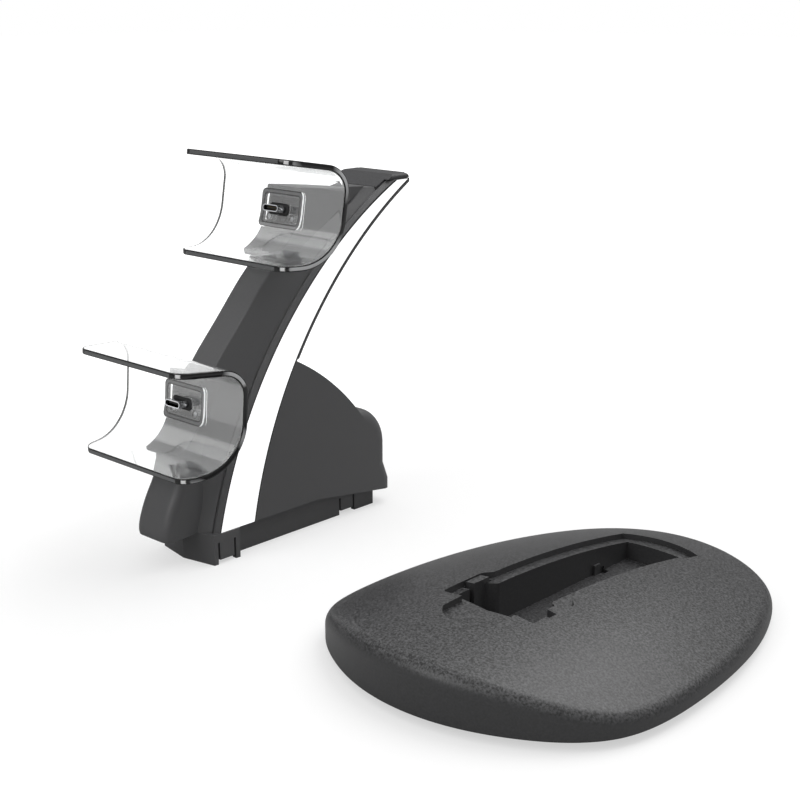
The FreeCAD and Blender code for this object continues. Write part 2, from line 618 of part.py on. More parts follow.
def front_cover():
    """Spine shell with its two bosses, saddled to the cradles and opened for the plugs."""
    solid = spine_body().fuse([boss(name) for name in CRADLES])
    cover = solid.cut(spine_rooms())
    for name in CRADLES:
        to_tower = cradle_frame_at(name).toMatrix().multiply(plug_placement().toMatrix())
        zone = cradle_prism(-FIT, 45).transformGeometry(cradle_frame_at(name).toMatrix())
        front = CRADLE_SHEET - 2
        floor = CRADLE_SHEET + RECESS_DEPTH
        rebate = rounded_bar(2 * (FRAME_HALF + FIT), FRAME_HEIGHT + 2 * FIT, front,
                             CRADLE_SHEET + FRAME_DEPTH + 0.02, FRAME_CORNER)
        recess = rounded_bar(2 * RECESS_HALF, RECESS_HEIGHT, front, floor, 1.0)
        lug = rounded_bar(2 * RECESS_HALF + 2 * WALL, RECESS_HEIGHT + 2 * WALL, front, floor + WALL, 1.5)
        rear = rounded_bar(2 * RECESS_HALF, RECESS_HEIGHT, floor + WALL, floor + 22, 1.0)
        through = rounded_bar(BODY_WIDTH + 2 * FIT, BODY_HEIGHT + 2 * FIT, front, floor + 22, 1.6)
        posts = []
        drills = [through]
        for side in (-1, 1):
            at = Vector(side * SCREW_SPREAD, CRADLE_SHEET + STUB_LENGTH + FIT, -SCREW_DROP)
            posts.append(Part.makeCylinder(POST_RADIUS, floor - at.y + 0.5, at, Vector(0, 1, 0)))
            drills.append(Part.makeCylinder(SCREW_SHANK + 0.1, 20, at - Vector(0, 1, 0), Vector(0, 1, 0)))
        lug = lug.cut(recess).fuse(posts).cut(drills)
        cuts = [recess, through, rear, rebate]
        lug, recess, through, rear, rebate = [c.transformGeometry(to_tower) for c in [lug] + cuts]
        cover = cover.cut([recess, through, rear]).fuse(lug.common(solid)).cut([rebate, zone])
    cap_y = CAP_FRONT_Y - FIT
    cap_room = box((-HALF, HALF), (cap_y, cap_y + 20), (CAP_FRONT_Z - CAP_EDGE - FIT, CAP_TOP))
    return cover.cut(cap_room)


def plug_plan(inset, z):
    """Plan outline of the plug frame: V nose, wide wings, an S-step and a straight tail."""
    wing = PLUG_HALF - inset
    tail = PLUG_INSET_HALF - inset
    nose_cut = inset * 1.02
    wing_end = PLUG_WING_END - inset
    rear = PLUG_REAR_Y - inset
    right = [Vector(0, nose_cut, z), Vector(wing, PLUG_NOSE * wing / PLUG_HALF + nose_cut, z),
             Vector(wing, wing_end, z), Vector(tail, wing_end + PLUG_STEP, z), Vector(tail, rear, z)]
    left = [Vector(-p.x, p.y, p.z) for p in reversed(right[1:])]
    return path(right + left + right[:1])


def latch_cut(latch, half):
    """Two slits and a shortened edge that free a snap latch in the right-hand wall."""
    first, last, top = latch
    slits = [box((half - WALL - 1, half + 1), (y - LATCH_SLIT / 2, y + LATCH_SLIT / 2), (-1, top))
             for y in (first, last)]
    edge = box((half - WALL - 1, half + 1), (first, last), (-1, LATCH_RAISE))
    return slits + [edge]


def plug_frame():
    """Insert under the tower: a ring of walls under a deck, with four snap latches."""
    top = SKIRT_BOTTOM - 0.02
    outer = solid_between(plug_plan(0, 0), Vector(0, 0, top))
    inner = solid_between(plug_plan(WALL, -1), Vector(0, 0, top + 1 - WALL))
    rise = box((-PLUG_INSET_HALF, PLUG_INSET_HALF), (PLUG_WING_END + PLUG_STEP, PLUG_REAR_Y),
               (top - WALL, PLUG_INNER_TOP))
    rise_room = box((-PLUG_INSET_HALF + WALL, PLUG_INSET_HALF - WALL),
                    (PLUG_WING_END + PLUG_STEP + WALL, PLUG_REAR_Y - WALL), (-1, PLUG_INNER_TOP - WALL))
    frame = outer.fuse(rise).cut([inner, rise_room])
    cuts = latch_cut(FRONT_LATCH, PLUG_HALF) + latch_cut(REAR_LATCH, PLUG_INSET_HALF)
    cuts += [mirror(c) for c in cuts]
    for side in (-1, 1):
        for y in SCREW_BLOCKS_Y:
            cuts.append(Part.makeCylinder(SCREW_SHANK + 0.15, 20, Vector(side * SCREW_BLOCK_X, y, 0)))
    return frame.cut(cuts).removeSplitter()


def plug_frame_screws():
    """Screws up through the deck into the blocks on the side walls."""
    screws = []
    for side in (-1, 1):
        for y in SCREW_BLOCKS_Y:
            piece = screw(1.7, 1.1, SCREW_SHANK - 0.12, 8)
            piece.Placement = Placement(Vector(side * SCREW_BLOCK_X, y, PLUG_INNER_TOP - WALL - 0.02),
                                        Rotation(Vector(1, 0, 0), 180))
            screws.append(piece)
    return Part.makeCompound(screws)


def main_board():
    """Charging board that lies on the plug frame's deck."""
    low = PLUG_INNER_TOP + 0.02
    return box((-3.3, 3.3), (26.0, 60.0), (low, low + 1.58)).fuse(
        box((-10.0, 10.0), (71.0, HUMP_REAR_Y - WALL - 0.4), (low, low + 1.58))).fuse(
        box((-3.3, 3.3), (59.0, 72.0), (low, low + 1.58)))


def ribbon_lead():
    """Flexible lead up the inside of the back cover from the board towards the upper plug."""
    low = PLUG_INNER_TOP + 1.62
    outer = arc_points(BACK_EDGE, low, ARM_TOP - 12, 0.1, -4)
    inner = arc_points(BACK_EDGE, low, ARM_TOP - 12, 0.5, -4)
    edges = [Part.Arc(*outer).toShape(), Part.Arc(*inner).toShape()]
    edges += path([outer[0], inner[0]]) + path([outer[2], inner[2]])
    return solid_between(edges, Vector(8, 0, 0))


def controller_chip():
    """Square chip on the wide part of the board."""
    low = PLUG_INNER_TOP + 1.62
    return box((-3.5, 3.5), (74.5, 81.5), (low, low + 1.0))


def base_outline(z, inset=0.0):
    """Egg-shaped outline of the base, symmetric about its middle line, moved in by inset."""
    right = [Vector(x, y, z) for x, y in BASE_HALF_OUTLINE]
    left = [Vector(-p.x, p.y, p.z) for p in reversed(right)]
    points = [Vector(0, BASE_FRONT_Y, z)] + right + [Vector(0, BASE_REAR_Y, z)] + left
    curve = Part.BSplineCurve()
    curve.interpolate(Points=points, PeriodicFlag=True)
    if inset:
        moved = []
        for point in points:
            along = curve.tangent(curve.parameter(point))[0]
            moved.append(point + Vector(-along.y, along.x, 0).normalize() * inset)
        curve.interpolate(Points=moved, PeriodicFlag=True)
    return Part.Wire(curve.toShape())


def dome(lower):
    """The big crowned top surface as a solid, moved down by lower."""
    long_radius = DOME_LENGTH_RADIUS - DOME_CROSS_RADIUS
    middle = Vector(0, DOME_CREST_Y, BASE_HEIGHT - DOME_LENGTH_RADIUS)
    return Part.makeTorus(long_radius, DOME_CROSS_RADIUS - lower, middle, Vector(1, 0, 0))


def dome_z(x, y):
    """Height of the crowned surface over a point of the base."""
    across = DOME_CROSS_RADIUS - math.sqrt(DOME_CROSS_RADIUS ** 2 - x ** 2)
    radius = DOME_LENGTH_RADIUS - across
    return BASE_HEIGHT - DOME_LENGTH_RADIUS + math.sqrt(radius ** 2 - (y - DOME_CREST_Y) ** 2)


LEDGE_Z = dome_z(HALF, 0) - RECESS_FALL
POCKET_FLOOR = LEDGE_Z - SKIRT_BOTTOM - PLUG_FLOOR_ROOM


def recess_plan(z):
    """Plan of the shallow recess that the tower's foot drops into."""
    toe = TOE_HALF + TOE_ROOM
    wing = PLUG_HALF + WING_ROOM
    side = HALF + SIDE_ROOM
    toe_y = TOE_FRONT_Y - 1.0
    rear = HUMP_REAR_Y + FLARE_REACH + REAR_ROOM
    wing_end = PLUG_WING_END + 4.0
    right = [Vector(toe, 0.1, z), Vector(wing, 0.1, z), Vector(wing, wing_end, z),
             Vector(side, wing_end + 3.0, z), Vector(side, rear - 3.5, z)]
    left = [Vector(-p.x, p.y, p.z) for p in right]
    rear_arc = Part.Arc(right[4], Vector(0, rear, z), left[4]).toShape()
    round_y = toe_y + 6.5
    toe_right = Vector(toe, round_y, z)
    toe_left = Vector(-toe, round_y, z)
    toe_arc = Part.Arc(toe_right, Vector(0, toe_y, z), toe_left).toShape()
    return [toe_arc, rear_arc] + path([toe_right] + right) + path([toe_left] + left)


def pocket_plan(grow, z):
    """Plan of the deep pocket that follows the plug frame."""
    wing = PLUG_HALF + POCKET_ROOM + grow
    tail = PLUG_INSET_HALF + POCKET_ROOM + grow
    wing_end = PLUG_WING_END + POCKET_ROOM + grow
    rear = PLUG_REAR_Y + POCKET_ROOM + grow
    nose = -POCKET_ROOM - grow
    right = [Vector(0, nose, z), Vector(wing, nose + PLUG_NOSE, z), Vector(wing, wing_end, z),
             Vector(tail, wing_end + PLUG_STEP, z), Vector(tail, rear, z)]
    left = [Vector(-p.x, p.y, p.z) for p in reversed(right[1:])]
    return path(right + left + right[:1])


def base_bosses(low):
    """Posts inside the base that the bottom screws go into."""
    posts = []
    for side in (-1, 1):
        for x, y in BASE_SCREW_AT.values():
            posts.append(Part.makeCylinder(BASE_BOSS, 30, Vector(side * x, y, low)))
    return posts


def base_shell():
    """Domed shell of the base with recess, ledge, pocket and catches."""
    rim = Part.Face(base_outline(FOOT_LIFT))
    body = rim.extrude(Vector(0, 0, 40)).common(dome(0))
    top_edges = [e for e in body.Edges if e.BoundBox.ZMin > FOOT_LIFT + 2 and e.Length > 30]
    body = body.makeFillet(BASE_TOP_FILLET, top_edges)
    low_edges = [e for e in body.Edges if e.BoundBox.ZMax < FOOT_LIFT + 0.01]
    body = body.makeFillet(BASE_RIM_FILLET, low_edges)
    under = Part.Face(base_outline(0, BASE_WALL)).extrude(Vector(0, 0, 40))
    under = under.common(dome(BASE_WALL))
    walls = solid_between(pocket_plan(BASE_WALL, POCKET_FLOOR - BASE_WALL), Vector(0, 0, 40))
    bosses = base_bosses(FOOT_LIFT + COVER_THICK + 0.02)
    under = under.cut([walls] + bosses)
    fall = Part.Face(Part.Wire(Part.__sortEdges__(recess_plan(POCKET_FLOOR)))).extrude(Vector(0, 0, 40))
    fall = softened(fall, HALF, -1, PLUG_WING_END + 9)
    ledge_floor = dome(RECESS_FALL)
    pocket = solid_between(pocket_plan(0, POCKET_FLOOR), Vector(0, 0, 40))
    pocket = softened(pocket, PLUG_INSET_HALF, 10, PLUG_WING_END + 9)
    shell = body.cut([under.cut(ledge_backing()), fall.cut(ledge_floor), pocket])
    shell = shell.fuse(catches()).cut(catch_slits())
    pilots = [Part.makeCylinder(1.0, BASE_PILOT_TOP, Vector(side * x, y, 0)) for side in (-1, 1)
              for x, y in BASE_SCREW_AT.values()]
    return shell.cut(pilots).removeSplitter()


def softened(prism, beyond_x, y_from, y_to):
    """An upright prism with its outer upright edges in a stretch of y rounded."""
    corners = [e for e in prism.Edges if e.BoundBox.ZLength > 30
               and abs(e.CenterOfMass.x) > beyond_x and y_from < e.CenterOfMass.y < y_to]
    return prism.makeFillet(RECESS_CORNER, corners)


def ledge_backing():
    """Material kept under the ledge so that the recess has its own wall."""
    return Part.Face(Part.Wire(Part.__sortEdges__(recess_plan(POCKET_FLOOR - BASE_WALL)))).extrude(
        Vector(0, 0, 40))


def catches():
    """Two front fingers beside the pocket and two rear tabs on its floor."""
    first, last, _ = FRONT_LATCH
    rear_first = REAR_LATCH[0] - 1.5
    finger = box((PLUG_HALF - 0.3, PLUG_HALF + WING_ROOM - 0.4), (first + 5.8, last + 5.6),
                 (POCKET_FLOOR - 1, BASE_HEIGHT + 2)).common(dome(0.4))
    tab = box((PLUG_INSET_HALF + POCKET_ROOM - 1.0, PLUG_INSET_HALF + POCKET_ROOM + 0.5),
              (rear_first, rear_first + 3.4), (POCKET_FLOOR - 1, POCKET_FLOOR + 3.6))
    return [finger, mirror(finger), tab, mirror(tab)]


def catch_slits():
    """Gaps that free the fingers, and the notch behind each rear tab."""
    first, last, _ = FRONT_LATCH
    start, end = first + 5.8, last + 5.6
    slits = [box((PLUG_HALF - 0.5, PLUG_HALF + WING_ROOM - 0.4), (a, b), (POCKET_FLOOR + 1, 60))
             for a, b in ((start - 1.3, start), (end, end + 1.3))]
    notch_y = REAR_LATCH[0] - 1.5 + 3.4
    notch = box((PLUG_INSET_HALF + POCKET_ROOM - 2.2, PLUG_INSET_HALF + POCKET_ROOM + 0.6),
                (notch_y, notch_y + 3.6), (POCKET_FLOOR - 1.2, POCKET_FLOOR + 1.4))
    cuts = slits + [notch]
    return cuts + [mirror(c) for c in cuts]


def base_cover():
    """Flat bottom plate inside the shell's rim, with seats for feet and screws."""
    plate = Part.Face(base_outline(FOOT_LIFT, BASE_WALL + FIT)).extrude(Vector(0, 0, COVER_THICK))
    cuts = []
    for side in (-1, 1):
        for x, y in FEET.values():
            cuts.append(Part.makeCylinder(FOOT_RADIUS + 0.1, FOOT_SINK, Vector(side * x, y, FOOT_LIFT)))
        for x, y in BASE_SCREW_AT.values():
            cuts.append(Part.makeCylinder(1.35, 9, Vector(side * x, y, 0)))
            cuts.append(Part.makeCylinder(2.7, 1.2, Vector(side * x, y, FOOT_LIFT)))
    return plate.cut(cuts)


def base_screws():
    """Screws up through the bottom plate."""
    screws = []
    for side in (-1, 1):
        for x, y in BASE_SCREW_AT.values():
            piece = screw(2.4, 1.1, 0.95, 5.5)
            piece.Placement = Placement(Vector(side * x, y, FOOT_LIFT + 1.22), Rotation(Vector(1, 0, 0), 180))
            screws.append(piece)
    return Part.makeCompound(screws)


def foot(side, place):
    """Round rubber foot sunk into the bottom plate."""
    x, y = FEET[place]
    pad = Part.makeCylinder(FOOT_RADIUS, FOOT_LIFT + FOOT_SINK - 0.02, Vector(side * x, y, 0))
    low = [e for e in pad.Edges if e.BoundBox.ZMax < 0.01]
    return pad.makeFillet(0.3, low)


def ballast(side):
    """Steel weight on the bottom plate, beside the pocket."""
    width, length, height = BALLAST
    x, y = BALLAST_AT
    low = FOOT_LIFT + COVER_THICK + 0.02
    block = box((x, x + width), (y, y + length), (low, low + height))
    upright = [e for e in block.Edges if e.BoundBox.ZLength > height - 0.01]
    block = block.makeFillet(3.0, upright)
    return block if side > 0 else mirror(block)


def build():
    """All the parts by name, in the tower's frame."""
    shell = side_shell()
    strip = light_strip()
    board = light_board()
    parts = {
        "front_cover": front_cover(),
        "side_shell_right": shell,
        "side_shell_left": mirror(shell),
        "light_strip_right": strip,
        "light_strip_left": mirror(strip),
        "light_board_right": board,
        "light_board_left": mirror(board),
        "back_cover": back_cover(),
        "top_cap": top_cap(),
        "plug_frame": plug_frame(),
        "plug_frame_screws": plug_frame_screws(),
        "main_board": main_board(),
        "controller_chip": controller_chip(),
        "inlet_socket": inlet_room(0),
        "ribbon_lead": ribbon_lead(),
    }
    for name in CRADLES:
        parts.update(cradle_parts(name))
    base = {
        "base_shell": base_shell(),
        "base_cover": base_cover(),
        "base_screws": base_screws(),
        "ballast_right": ballast(1),
        "ballast_left": ballast(-1),
    }
    for place in FEET:
        base["foot_%s_right" % place] = foot(1, place)
        base["foot_%s_left" % place] = foot(-1, place)
    for name, shape in base.items():
        shape.translate(BASE_AT)
        parts[name] = shape
    return parts


def main():
    """Centre the whole dock over the origin and write each part to its own file."""
    parts = build()
    everything = Part.makeCompound(list(parts.values())).optimalBoundingBox(False)
    to_origin = Vector(-everything.Center.x, -everything.Center.y, -everything.ZMin)
    os.makedirs("parts", exist_ok=True)
    for name, shape in parts.items():
        shape.translate(to_origin)
        shape.exportStep("parts/%s.step" % name)
        print(name, "solids", len(shape.Solids), "valid", shape.isValid(), "volume", round(shape.Volume))
    print("moved by", [round(v, 3) for v in to_origin])
    print("size", [round(v, 2) for v in (everything.XLength, everything.YLength, everything.ZLength)])


main()
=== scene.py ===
# %% [markdown]
# # A two-tier charging dock, dressed for a product picture
# The dock has a curved tower with two clear cradles, and a heavy domed base that the tower's foot
# drops into. The base stands beside the tower. The engineering model gives every solid its place, so
# this lesson is about surfaces: moulded plastic with a grain, clear sheet, and a soft white studio.

import bpy
import bmesh
import math
from mathutils import Matrix, Vector


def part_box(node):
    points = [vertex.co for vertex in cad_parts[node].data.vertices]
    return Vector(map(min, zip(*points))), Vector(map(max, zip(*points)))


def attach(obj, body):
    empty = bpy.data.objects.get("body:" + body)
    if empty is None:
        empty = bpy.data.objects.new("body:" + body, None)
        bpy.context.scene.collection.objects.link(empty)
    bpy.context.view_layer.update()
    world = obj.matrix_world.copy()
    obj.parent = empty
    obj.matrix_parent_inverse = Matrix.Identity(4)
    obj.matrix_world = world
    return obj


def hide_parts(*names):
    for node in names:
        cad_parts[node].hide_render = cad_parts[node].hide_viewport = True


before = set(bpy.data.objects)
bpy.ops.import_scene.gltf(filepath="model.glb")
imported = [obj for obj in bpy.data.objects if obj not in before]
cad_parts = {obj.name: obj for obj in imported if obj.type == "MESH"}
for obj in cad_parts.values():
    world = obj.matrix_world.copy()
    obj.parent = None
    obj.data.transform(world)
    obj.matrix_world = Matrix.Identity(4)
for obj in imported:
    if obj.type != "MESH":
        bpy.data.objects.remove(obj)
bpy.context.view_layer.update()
MM = 0.001

# %% [markdown]
# ## Where things are
# All sizes are in millimetres and all places are counted from one point: the crease at the nose of the
# tower's foot, on the floor. The model knows where that crease is, so nothing has to be fitted by eye.

# %% The tower's own origin
foot_low, foot_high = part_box("plug_frame")
NOSE = Vector(((foot_low.x + foot_high.x) / 2, foot_low.y, 0))


def place(x, y, z):
    """A point given in millimetres from the nose, in the model's frame."""
    return NOSE + Vector((x, y, z)) * MM


print("nose of the foot at", [round(v * 1000, 1) for v in NOSE], "mm")

# %% [markdown]
# ## Helpers for colours and nodes
# Paint codes are written the way a designer reads them from a swatch, as hex. A renderer wants linear
# light, so one function converts them. Another adds a node to a node tree and wires its inputs, and
# short ones start a material, wire its surface and turn the size of a grain into a pattern's scale.

# %% Colour and node helpers
def swatch(code):
    """Linear red, green, blue and alpha of a swatch such as 4a4b4d."""
    parts = [int(code[i:i + 2], 16) / 255 for i in (0, 2, 4)]
    return tuple(p / 12.92 if p <= 0.04045 else ((p + 0.055) / 1.055) ** 2.4 for p in parts) + (1.0,)


def add(tree, kind, settings=None, inputs=None):
    """Adds a node with its settings. An input takes a value, a socket, or a node for its first output."""
    made = tree.nodes.new(kind)
    for name, value in (settings or {}).items():
        setattr(made, name, value)
    for name, value in (inputs or {}).items():
        given = value.outputs[0] if isinstance(value, bpy.types.Node) else value
        if isinstance(given, bpy.types.NodeSocket):
            tree.links.new(given, made.inputs[name])
        else:
            made.inputs[name].default_value = given
    return made


def start_material(name, **surface_values):
    """A material with one surface shader. Gives it, its tree, the shader and the place on the piece."""
    made = bpy.data.materials.new(name)
    made.use_nodes = True
    made.node_tree.nodes.clear()
    surface = add(made.node_tree, "ShaderNodeBsdfPrincipled",
                  inputs={key.replace("_", " "): value for key, value in surface_values.items()})
    add(made.node_tree, "ShaderNodeOutputMaterial", inputs={"Surface": surface})
    spot = add(made.node_tree, "ShaderNodeTexCoord").outputs["Object"]
    return made, made.node_tree, surface, spot


def feed(surface, label, source, output=0):
    """Wires one output of a node to an input of the surface shader."""
    surface.id_data.links.new(source.outputs[output], surface.inputs[label])


def per_metre(size_mm):
    """Scale of a pattern whose grains are this many millimetres across."""
    return 1000 / size_mm


# %% [markdown]
# ## Satin ABS of the tower
# The tower is injection-moulded ABS from a finely blasted steel mould. The eye reads that as a dark
# grey with a broad, soft sheen and almost no pattern. On faces that look up, the grain catches the
# light, so there it is drawn stronger. Real blasting is about 0.1 mm, too fine to show here, and is
# drawn at 0.45 mm.

# %% Moulded ABS with a blasted grain
SATIN_GREY, BLAST_MM, PIT_DEPTH = "535354", 0.45, 0.05
WALL_LEAN, TOP_LEAN, ABS_IOR, PIT_ROUGHNESS = 0.25, 0.75, 1.53, 0.3


def moulded_abs(name, colour, grain_mm, speckle, relief, side_share, roughness):
    """ABS with a grain: speckle is its light and dark, relief its bump, side_share what walls keep."""
    made, tree, surface, spot = start_material(name, IOR=ABS_IOR)
    grain = add(tree, "ShaderNodeTexNoise",
                inputs={"Vector": spot, "Scale": per_metre(grain_mm), "Detail": 3.0, "Roughness": 0.65})
    normal = add(tree, "ShaderNodeNewGeometry").outputs["Normal"]
    up = add(tree, "ShaderNodeSeparateXYZ", inputs={0: normal}).outputs["Z"]
    # The grain is stronger on faces that look up: there its light and dark is a painted glint.
    share = add(tree, "ShaderNodeMapRange", inputs={
        "Value": up, "From Min": WALL_LEAN, "From Max": TOP_LEAN, "To Min": side_share, "To Max": 1.0})
    centred = add(tree, "ShaderNodeMath", {"operation": "SUBTRACT"}, {0: grain, 1: 0.5})
    pits = add(tree, "ShaderNodeMath", {"operation": "MULTIPLY"}, {0: centred, 1: share})
    light = add(tree, "ShaderNodeMath", {"operation": "MULTIPLY_ADD"}, {0: pits, 1: speckle, 2: 1.0})
    tint = add(tree, "ShaderNodeVectorMath", {"operation": "SCALE"}, {0: swatch(colour)[:3], "Scale": light})
    rough = add(tree, "ShaderNodeMath", {"operation": "MULTIPLY_ADD"},
                {0: pits, 1: PIT_ROUGHNESS, 2: roughness})
    bump = add(tree, "ShaderNodeBump",
               inputs={"Strength": relief, "Distance": PIT_DEPTH * MM, "Height": pits})
    feed(surface, "Base Color", tint)
    feed(surface, "Roughness", rough)
    feed(surface, "Normal", bump)
    return made


satin_abs = moulded_abs("satin_moulded_abs", SATIN_GREY, BLAST_MM, 0.5, 0.5, 0.15, 0.48)
print("tower plastic:", satin_abs.name)

# %% [markdown]
# ## Spark-eroded ABS of the base and the cap
# The base's top and the cap come from a mould whose steel was spark-eroded, which leaves small round
# pits. Moulded, they make a coarse, even sparkle. It is the same plastic, so only the grain's size and
# strength change. The grain is drawn weaker on the walls and stronger on faces that look up, where its
# light and dark is a painted glint of the pits catching the light. Real pits are too fine to show in
# this picture, and so they are drawn larger, at 0.75 mm on the base.

# %% Coarser grain and the dark small parts
SPARK_MM, CAP_SHARE = 0.75, 0.7
CAP_SPARK_MM = SPARK_MM * CAP_SHARE
spark_abs = moulded_abs("spark_eroded_abs", "383839", SPARK_MM, 8.0, 1.0, 0.12, 0.4)
cap_abs = moulded_abs("spark_eroded_cap_abs", "323234", CAP_SPARK_MM, 4.0, 0.9, 0.3, 0.5)
black_abs = moulded_abs("black_overmould", "0d0d0e", BLAST_MM, 0.4, 0.4, 0.4, 0.42)
frame_abs = moulded_abs("frame_abs", "545556", BLAST_MM, 0.3, 0.3, 0.4, 0.45)
print("grain", SPARK_MM, "mm on the base,", round(CAP_SPARK_MM, 2), "mm on the cap")

# %% [markdown]
# ## Opal diffuser
# The light strips are opal acrylic: clear resin with a white filler that spreads the light of the small
# lamps behind it. It glows a little and shows no grain, only a faint satin. Along its two long edges
# runs a thin near-black line, painted shade of the seams between the strip and the cover. The edges
# are arcs, each known by its centre's y and z and its radius, so the painted shade is found by the
# distance from that centre.

# %% Glowing opal acrylic
EDGE_SEAM_SHADE, SEAM_SHADE_FADE = 0.5, 0.05
STRIP_FRONT, STRIP_BACK = (188.2, -31.9, 186.9), (205.4, -24.9, 185.2)
STRIP_GLOW, HAZE_MM, HAZE_DEPTH = 0.7, 1.5, 0.02


def inside_edge(tree, side_view, edge, inward):
    """1 on the diffuser's face and 0 on the painted seam shade along one of its curved edges."""
    y, z, radius = edge
    centre = Vector((0, *place(0, y, z).yz))
    away = add(tree, "ShaderNodeVectorMath", {"operation": "DISTANCE"}, {0: side_view, 1: centre})
    shade_radius = (radius + inward * EDGE_SEAM_SHADE) * MM
    fade = inward * SEAM_SHADE_FADE * MM
    return add(tree, "ShaderNodeMapRange",
               inputs={"Value": away.outputs["Value"], "From Min": shade_radius - fade, "From Max": shade_radius})


def opal_acrylic():
    """White diffuser with painted seam shade along its long edges."""
    made, tree, surface, spot = start_material("opal_acrylic_diffuser", IOR=1.49, Roughness=0.35,
                                               Emission_Color=swatch("ffffff"))
    side_view = add(tree, "ShaderNodeVectorMath", {"operation": "MULTIPLY"}, {0: spot, 1: (0, 1, 1)})
    bare = add(tree, "ShaderNodeMath", {"operation": "MULTIPLY"}, {
        0: inside_edge(tree, side_view, STRIP_FRONT, -1), 1: inside_edge(tree, side_view, STRIP_BACK, 1)})
    # Near-black along the edges: painted shade of the seams.
    face = add(tree, "ShaderNodeMix", {"data_type": "RGBA"},
               {0: bare, 6: swatch("080808"), 7: swatch("f4f5f6")})
    lit = add(tree, "ShaderNodeMath", {"operation": "MULTIPLY"}, {0: bare, 1: STRIP_GLOW})
    haze = add(tree, "ShaderNodeTexNoise",
               inputs={"Vector": spot, "Scale": per_metre(HAZE_MM), "Detail": 2.0})
    soft = add(tree, "ShaderNodeBump", inputs={"Strength": 0.1, "Distance": HAZE_DEPTH * MM, "Height": haze})
    feed(surface, "Base Color", face, 2)
    feed(surface, "Emission Strength", lit)
    feed(surface, "Normal", soft)
    return made


opal = opal_acrylic()
print("diffuser:", opal.name)

# %% [markdown]
# ## Clear polycarbonate
# The cradles are polished polycarbonate. Its index of refraction is high, 1.58, so it mirrors the
# white room and looks milky where something dark stands behind it. A faint painted glow adds to that,
# and a long soft wave stands for the sheet's unevenness.

# %% Face of the clear sheet
SHEET_IOR, PAINTED_HAZE_GLOW, WAVE_MM, WAVE_DEPTH = 1.58, 0.008, 14.0, 0.05
# The sheet's faint emission is a painted glow that makes it milkier.
clear, tree, surface, spot = start_material(
    "clear_polycarbonate", Base_Color=swatch("fdfefe"), IOR=SHEET_IOR, Roughness=0.0,
    Transmission_Weight=0.97, Emission_Color=swatch("ffffff"), Emission_Strength=PAINTED_HAZE_GLOW)
flow = add(tree, "ShaderNodeTexNoise", inputs={"Vector": spot, "Scale": per_metre(WAVE_MM), "Detail": 1.0})
wave = add(tree, "ShaderNodeBump", inputs={"Strength": 0.25, "Distance": WAVE_DEPTH * MM, "Height": flow})
feed(surface, "Normal", wave)
print("clear sheet:", clear.name)

# %% [markdown]
# A cut edge looks into the length of the sheet, so it is much darker than the face. Its tone is painted
# light and goes by where it turns: grey along the lips, a painted dark and light glint at their round
# corners, nearly black on the sides, with a few long pale streaks there that are painted glints. Its
# gloss is a little uneven, as on a sawn edge that was polished afterwards.

# %% Cut edge of the clear sheet
LIP_GREY, DARK_GLINT, LIGHT_GLINT = "606162", "0a0a0a", "f0f0f0"
SIDE_BLACK, SIDE_GLINT = "161617", "c4c5c6"
EDGE_TONES = [(0.12, LIP_GREY), (0.16, DARK_GLINT), (0.46, DARK_GLINT), (0.5, LIGHT_GLINT),
              (0.66, LIGHT_GLINT), (0.7, SIDE_BLACK)]
STREAK_MM, STREAK_FROM, STREAK_FULL, SAW_MM = 16.0, 0.46, 0.56, 0.8
SIDE_FROM, SIDE_FULL = 0.8, 0.85


def cut_edge():
    """Edge whose painted tone and glints go by how far its normal points sideways."""
    made, tree, surface, spot = start_material("polycarbonate_edge", IOR=SHEET_IOR)
    normal = add(tree, "ShaderNodeNewGeometry").outputs["Normal"]
    either_way = add(tree, "ShaderNodeVectorMath", {"operation": "ABSOLUTE"}, {0: normal})
    sideways = add(tree, "ShaderNodeSeparateXYZ", inputs={0: either_way}).outputs["X"]
    turning = add(tree, "ShaderNodeValToRGB", inputs={"Fac": sideways})
    stops = turning.color_ramp.elements
    stops.remove(stops[1])
    stops[0].color = swatch(LIP_GREY)
    for turned, tone in EDGE_TONES:
        stops.new(turned).color = swatch(tone)
    # Long pale streaks on the sides: painted glints.
    streak = add(tree, "ShaderNodeTexNoise",
                 inputs={"Vector": spot, "Scale": per_metre(STREAK_MM), "Detail": 0.0})
    pale = add(tree, "ShaderNodeMapRange",
               inputs={"Value": streak, "From Min": STREAK_FROM, "From Max": STREAK_FULL})
    beside = add(tree, "ShaderNodeMapRange",
                 inputs={"Value": sideways, "From Min": SIDE_FROM, "From Max": SIDE_FULL})
    lit = add(tree, "ShaderNodeMath", {"operation": "MULTIPLY"}, {0: pale, 1: beside})
    shade = add(tree, "ShaderNodeMix", {"data_type": "RGBA"}, {0: lit, 6: turning, 7: swatch(SIDE_GLINT)})
    saw = add(tree, "ShaderNodeTexNoise", inputs={"Vector": spot, "Scale": per_metre(SAW_MM), "Detail": 2.0})
    polish = add(tree, "ShaderNodeMapRange", inputs={"Value": saw, "To Min": 0.1, "To Max": 0.22})
    feed(surface, "Base Color", shade, 2)
    feed(surface, "Roughness", polish)
    return made


edge_painted_glints = cut_edge()
print("its edge:", edge_painted_glints.name)

# %% [markdown]
# The softened rims between face and edge are painted near-black: thin, dark, polished lines of
# painted shade.

# %% Rim between face and edge
GLINT_MM = 3.0
rim_painted_shade, tree, surface, spot = start_material("polished_rim_painted_shade", Base_Color=swatch("060606"), IOR=SHEET_IOR)
glint = add(tree, "ShaderNodeTexNoise", inputs={"Vector": spot, "Scale": per_metre(GLINT_MM), "Detail": 1.0})
polish = add(tree, "ShaderNodeMapRange", inputs={"Value": glint, "To Min": 0.02, "To Max": 0.14})
feed(surface, "Roughness", polish)
print("its rims:", rim_painted_shade.name)

